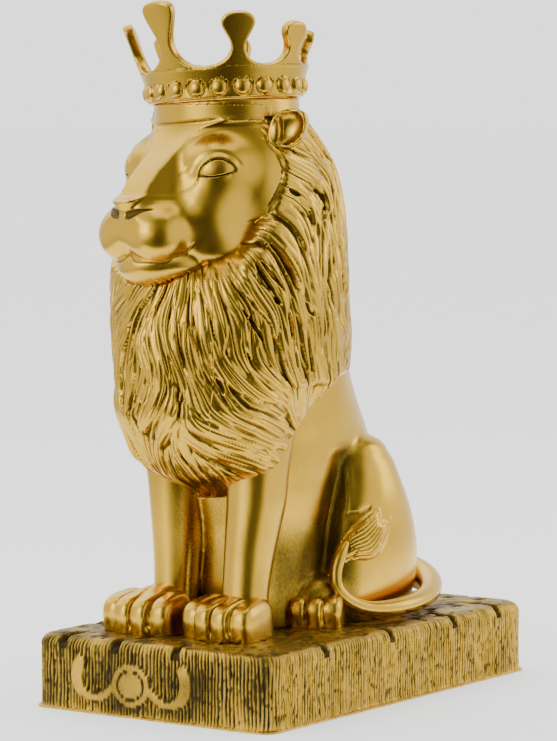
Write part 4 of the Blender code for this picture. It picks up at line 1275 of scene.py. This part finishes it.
# The plinth: rings of points from the underside up the chiselled walls and in over the top
plinth = {
    "width": (plinthHigh.x - plinthLow.x) / mm, "length": (plinthHigh.y - plinthLow.y) / mm,
    "height": (plinthHigh.z - plinthLow.z) / mm,
    "corner": 8.0, "shoulderDrop": 5.2, "shoulderInset": 4.8, "lip": 0.7, "wallInset": 1.15,
    "columns": 1440, "wallRows": 21, "shoulderRows": 9,
    # How closely the points stand on each side and corner, from the lion's left round by the back
    "density": (2.4, 1.6, 0.7, 0.7, 0.7, 1.5, 2.6, 2.4),
    "pitch": 1.8, "groove": 1.0,
    # How the chisel wanders, and how the walls and the top wave: amount, speeds across and up, seed
    "wander": ((0.22, 0.3, 0.12, 9), (0.7, 0.09, 0.01, 21)),
    "wallWaves": ((0.35, 0.06, 0.05, 14), (0.15, 0.4, 0.3, 15)),
    "topWaves": ((0.35, 0.22, 0.22, 4), (0.22, 0.6, 0.6, 6)),
    "ornament": {"x": -9.0, "height": 13.6, "disc": 5.9, "ring": 9.2, "spread": 1.1,
                 "curl": ((8.5, -1.5), (13, -5.5), (18.5, -6.6), (23.5, -3.5), (25.5, 2.5), (24, 8))},
    # Channels across the top edge: x, y, turn in degrees, length
    "channels": ((-45, -102, 0, 16), (-18, -102, 0, 10), (13, -102, 4, 15), (-26, 102, 0, 16),
                 (16, 102, 0, 14), (62, -58, 90, 18), (62, -8, 90, 11), (62, 42, 96, 16), (62, 78, 84, 22),
                 (-62, -64, 90, 16), (-62, -10, 90, 14), (-62, 38, 90, 18), (-62, 80, 90, 14)),
    "channelWidth": 4.6, "channelDepth": 2.6,
    # Rings over the top: how many, how far apart, and by what the number of points is divided
    "topRings": ((14, 1.05, 2), (21, 1.6, 4)),
}


# Points round a rounded rectangle, with the way out at each and how far round it lies
def outlineRing(count, inset):
    halfX, halfY = plinth["width"] / 2 - inset, plinth["length"] / 2 - inset
    corner = max(0.4, min(plinth["corner"], halfX - 0.5, halfY - 0.5))
    straightX, straightY = halfX - corner, halfY - corner
    fullX, fullY = plinth["width"] / 2 - plinth["corner"], plinth["length"] / 2 - plinth["corner"]
    fullArc = math.pi / 2 * plinth["corner"]
    lengths = np.array((fullY * 2, fullArc, fullX * 2, fullArc, fullY * 2, fullArc, fullX * 2, fullArc))
    crowded = lengths * plinth["density"]
    edges = np.concatenate(((0,), np.cumsum(lengths)))
    marks = np.concatenate(((0,), np.cumsum(crowded) / crowded.sum()))
    travel = np.interp((np.arange(count) + 0.5) / count, marks, edges)
    run = np.clip(np.searchsorted(edges, travel, side="right") - 1, 0, 7)
    t = (travel - edges[run]) / (edges[run + 1] - edges[run])
    points, ways = np.zeros((count, 2)), np.zeros((count, 2))
    centres = [(x * straightX, y * straightY) for x, y in ((1, 1), (-1, 1), (-1, -1), (1, -1))]
    for side in range(4):
        base = math.pi / 2 * side
        way = np.array((math.cos(base), math.sin(base)))
        along = np.array((-way[1], way[0]))
        flat = run == side * 2
        half = (straightY, straightX)[side % 2]
        out = (halfX, halfY)[side % 2]
        points[flat] = way * out + along * ((t[flat] * 2 - 1) * half)[:, None]
        ways[flat] = way
        bend = run == side * 2 + 1
        angles = base + t[bend] * math.pi / 2
        ways[bend] = np.column_stack((np.cos(angles), np.sin(angles)))
        points[bend] = np.array(centres[side]) + ways[bend] * corner
    return points, ways, travel


def ornamentHeight(x, z):
    o = plinth["ornament"]
    x, z = (x - o["x"]) / o["spread"], z - o["height"]
    radius = np.hypot(x, z)
    rise = 1.1 * ease(o["ring"] - radius, -0.4, 0.7)
    rise += 0.5 * ease(o["disc"] - radius, -0.3, 0.5)
    rise -= 0.9 * np.exp(-((radius - o["disc"]) / 0.6)**2)
    gap = lineGap(np.abs(x), z, smoothPath(o["curl"], 5))
    wide = 1.9 + 1.3 * ease(np.abs(x), 20, 26)
    return np.maximum(rise, 1.1 * ease(wide - gap, -0.3, 0.6))


def channelDepth(x, y):
    depth = np.zeros(x.shape)
    for cx, cy, turn, length in plinth["channels"]:
        u, v = turned(x - cx, y - cy, math.radians(turn))
        wobble = 0.7 * valueNoise(v * 0.5, u * 0.1 + cx, 3)
        cut = ease(plinth["channelWidth"] / 2 - np.abs(u + wobble), -0.3, 0.8)
        cut = cut * ease(length - np.abs(v), 0, 2.0)
        depth = np.maximum(depth, plinth["channelDepth"] * cut)
    return depth


# Chisel grooves down the walls and pits between them: how deep at each point
def chiselDepth(travel, height):
    level = np.full(len(travel), float(height))
    phase = travel / plinth["pitch"] + waves(travel, level, plinth["wander"])
    cell, part = np.floor(phase), np.mod(phase, 1.0)
    strength = 0.78 + 0.60 * valueNoise(cell * 0.37 + 5, level * 0.13 + cell * 0.9, 2)
    vee = np.clip(1 - np.abs(part - 0.5) / 0.34, 0, 1)
    pits = np.clip(valueNoise(travel * 0.8, level * 0.6, 7) - 0.25, 0, 1)
    return plinth["groove"] * np.clip(strength, 0.12, 1.3) * vee + 0.8 * pits


def buildPlinth():
    rings, shadeAndGrimeRings, counts = [], [], []
    top = plinth["height"]
    shoulder = top - plinth["shoulderDrop"]
    columns = plinth["columns"]

    def addRing(count, inset, height, grooved, roughTop):
        points, ways, travel = outlineRing(count, inset)
        level = np.full(count, float(height))
        cut = grooved * chiselDepth(travel, height)
        front = (ways[:, 1] < -0.9) & (np.abs(points[:, 1] + plinth["length"] / 2 - inset) < 3)
        rise = np.zeros(count)
        rise[front] = min(grooved * 1.5, 1.0) * ornamentHeight(points[front, 0], height)
        cut = cut * (1 - np.clip(rise, 0, 1))
        wave = waves(travel, level, plinth["wallWaves"])
        outward = np.minimum(0.9 * rise - cut - wave * grooved, plinth["wallInset"] - 0.03)
        flat = points + ways * outward[:, None]
        u, v = flat[:, 0] + 100, flat[:, 1] + 100
        hollow = np.clip(valueNoise(u * 0.45, v * 0.3, 8) - 0.2, 0, 1)
        lumps = roughTop * np.minimum(waves(u, v, plinth["topWaves"]) - 1.3 * hollow, 0.0)
        channel = channelDepth(flat[:, 0], flat[:, 1]) * ease(height, shoulder - 1, top - 3)
        rings.append(np.column_stack((flat, np.maximum(height + lumps - channel - 0.4 * roughTop, 0))))
        # Painted shade in the chisel grooves, the channels, the hollows of the top and the lines round the
        # ornament, and over the walls, most on the front wall, in patches; the top is darker all over
        topDarker = 0.50 + 0.14 * valueNoise(u * 0.12, v * 0.12, 12)
        outlined = np.exp(-((rise - 0.35) / 0.25)**2)
        patchy = 0.5 + 0.5 * valueNoise(travel * 0.05 + 3, level * 0.06, 31)
        frontShade = 0.14 + 0.50 * ease(-ways[:, 1], 0.2, 0.9)
        wallShade = frontShade * patchy * (1 - 0.1 * np.clip(rise, 0, 1)) * min(1.0, 2.0 * grooved)
        shadeAndGrimeRings.append(np.clip(cut, 0, 1) * 0.95 + channel * 0.26 - 0.5 * lumps + roughTop * topDarker
                      + 0.6 * grooved * outlined + wallShade)
        counts.append(count)

    addRing(columns, 0.0, 0.0, 0.0, 0.0)
    for height in np.linspace(0.2, plinth["lip"], 2):
        addRing(columns, 0.25, height, 0.15, 0.0)
    for t in np.linspace(0, 1, plinth["wallRows"]):
        height = plinth["lip"] + 0.5 + (shoulder - plinth["lip"] - 0.5) * t
        addRing(columns, plinth["wallInset"], height, 0.4 + 0.6 * ease(t, 0, 0.08), 0.0)
    for step in range(1, plinth["shoulderRows"] + 1):
        t = step / plinth["shoulderRows"]
        inset = plinth["wallInset"] + plinth["shoulderInset"] * (1 - math.cos(math.pi / 2 * t))
        height = shoulder + plinth["shoulderDrop"] * math.sin(math.pi / 2 * t)
        addRing(columns, inset, height, 0.9 * (1 - t), ease(t, 0.4, 1.0))
    inset = plinth["wallInset"] + plinth["shoulderInset"]
    for number, apart, divisor in plinth["topRings"]:
        for step in range(1, number + 1):
            addRing(columns // divisor, inset + apart * step, top, 0.0, 1.0)
        inset += apart * number
    points = np.concatenate(rings)
    starts = np.concatenate(((0,), np.cumsum(counts)))
    faces = []
    for k in range(len(rings) - 1):
        n, m = counts[k], counts[k + 1]
        a, b = starts[k], starts[k + 1]
        i = np.arange(m)
        if n == m:
            j = (i + 1) % n
            faces.append(np.stack((a + i, a + j, b + j, b + i), -1))
            continue
        first, second, third = a + 2 * i, a + 2 * i + 1, a + (2 * i + 2) % n
        lower, upper = b + i, b + (i + 1) % m
        faces.append(np.stack((first, second, lower, lower), -1))
        faces.append(np.stack((second, third, upper, lower), -1))
    return points, np.concatenate(faces), np.concatenate(shadeAndGrimeRings)


# The rings are closed underneath and on top, with an edge left sharp where two sides meet steeply
def makeBlock(name, points, faces, shadeAndGrime, node):
    bm = bmesh.new()
    verts = [bm.verts.new(point * mm) for point in points]
    for face in faces:
        corners = list(dict.fromkeys(int(i) for i in face))
        bm.faces.new([verts[i] for i in corners])
    rims = [edge for edge in bm.edges if edge.is_boundary]
    bmesh.ops.holes_fill(bm, edges=rims, sides=0)
    bmesh.ops.recalc_face_normals(bm, faces=bm.faces)
    mesh = bpy.data.meshes.new(name)
    bm.to_mesh(mesh)
    bm.free()
    placePiece(name, mesh, shadeAndGrime, node)
    mesh.set_sharp_from_angle(angle=math.radians(60))


makeBlock("plinth_block", *buildPlinth(), "plinth")


# Pale floor, soft studio light and the camera at the photograph's place
studio = {
    # The floor: how far it comes to the front and goes back, half width at each end
    "floor": (0.90, 0.90, 0.90), "front": 0.24, "back": 40.0, "narrow": 0.30, "broad": 4.0, "glow": 0.84,
    "camera": (0.856, -1.2317, 0.2545), "pitch": 90 - 4.4, "yaw": 34.95,
    "film": 36.0, "lens": 36 * 3455 / 741,  # the photograph is 741 pixels high, seen from 3455 pixels away
    "shown": 1.9, "base": 0.26,  # the strength that the camera sees, and that lights the figure all round
    # Soft lights and dark screens round the figure: way towards it, width in degrees, edge, strength
    "lights": (((-0.645, -0.764, 0.10), 60, 20, 0.90), ((-0.18, -0.98, 0.10), 18, 10, 1.15),
               ((0.89, 0.45, 0.08), 42, 14, 1.05), ((-0.57, 0.16, 0.81), 30, 14, 1.3),
               ((-0.45, 0.88, 0.15), 45, 20, 1.2)),
    "screens": (((0.20, -0.76, -0.62), 34, 14, 0.65), ((0.755, -0.655, -0.02), 25, 9, 0.55),
                ((0, 0, -1), 55, 20, 0.6)),
    # Lamps: place, aimed at, width, height, power
    "lamps": (((-0.35, -1.30, 0.85), (0, 0, 0.15), 0.7, 0.9, 5.0),
              ((0.95, 1.0, 0.7), (0, 0, 0.14), 0.7, 1.0, 4.0),
              ((0.1, 0.1, 1.4), (0, 0, 0.1), 1.0, 1.0, 5.0)),
}


def studioWorld():
    world = bpy.data.worlds.new("studio")
    world.use_nodes = True
    tree = world.node_tree
    nodes, links = tree.nodes, tree.links
    background = nodes["Background"]
    background.inputs["Color"].default_value = (1, 1, 1, 1)
    where = nodes.new("ShaderNodeTexCoord")

    def lobe(way, width, edge):
        dot = nodes.new("ShaderNodeVectorMath")
        dot.operation = "DOT_PRODUCT"
        dot.inputs[1].default_value = Vector(way).normalized()
        links.new(where.outputs["Generated"], dot.inputs[0])
        ramp = nodes.new("ShaderNodeMapRange")
        ramp.interpolation_type = "SMOOTHSTEP"
        ramp.inputs["From Min"].default_value = math.cos(math.radians(min(width + edge, 175)))
        ramp.inputs["From Max"].default_value = math.cos(math.radians(max(width - edge, 1)))
        links.new(dot.outputs["Value"], ramp.inputs["Value"])
        return ramp.outputs["Result"]

    total = studio["base"]
    for way, width, edge, strength in studio["lights"]:
        total = mathNode(tree, "ADD", total, mathNode(tree, "MULTIPLY", lobe(way, width, edge), strength))
    for way, width, edge, share in studio["screens"]:
        hidden = mathNode(tree, "MULTIPLY", lobe(way, width, edge), share)
        total = mathNode(tree, "MULTIPLY", total, mathNode(tree, "SUBTRACT", 1.0, hidden))
    camera = nodes.new("ShaderNodeLightPath").outputs["Is Camera Ray"]
    lit = mathNode(tree, "MULTIPLY", total, mathNode(tree, "SUBTRACT", 1.0, camera))
    shown = mathNode(tree, "MULTIPLY", camera, studio["shown"])
    links.new(mathNode(tree, "ADD", lit, shown), background.inputs["Strength"])
    bpy.context.scene.world = world


def buildStudio():
    mesh = bpy.data.meshes.new("floor")
    corners = ((-studio["narrow"], -studio["front"], 0), (studio["narrow"], -studio["front"], 0),
               (studio["broad"], studio["back"], 0), (-studio["broad"], studio["back"], 0))
    spin = Matrix.Rotation(math.radians(studio["yaw"]), 3, "Z")
    mesh.from_pydata([spin @ Vector(corner) for corner in corners], [], [(0, 1, 2, 3)])
    floor = bpy.data.objects.new("floor", mesh)
    bpy.context.scene.collection.objects.link(floor)
    pale = bpy.data.materials.new("pale_floor")
    pale.use_nodes = True
    for key, value in (("Base Color", (*studio["floor"], 1)), ("Roughness", 0.9),
                       ("Emission Color", (1, 1, 1, 1)), ("Emission Strength", studio["glow"])):
        pale.node_tree.nodes["Principled BSDF"].inputs[key].default_value = value
    mesh.materials.append(pale)
    studioWorld()
    for number, (place, aim, width, height, power) in enumerate(studio["lamps"]):
        light = bpy.data.lights.new(f"softbox_{number}", "AREA")
        light.shape = "RECTANGLE"
        light.size, light.size_y, light.energy = width, height, power
        lamp = bpy.data.objects.new(f"softbox_{number}", light)
        lamp.location = place
        lamp.rotation_euler = (Vector(aim) - Vector(place)).to_track_quat("-Z", "Y").to_euler()
        bpy.context.scene.collection.objects.link(lamp)
    data = bpy.data.cameras.new("camera")
    data.lens, data.sensor_width, data.sensor_height = studio["lens"], studio["film"], studio["film"]
    data.sensor_fit = "VERTICAL"
    camera = bpy.data.objects.new("camera", data)
    camera.location = studio["camera"]
    camera.rotation_euler = (math.radians(studio["pitch"]), 0, math.radians(studio["yaw"]))
    bpy.context.scene.collection.objects.link(camera)
    bpy.context.scene.camera = camera


buildStudio()
print("studio ready")
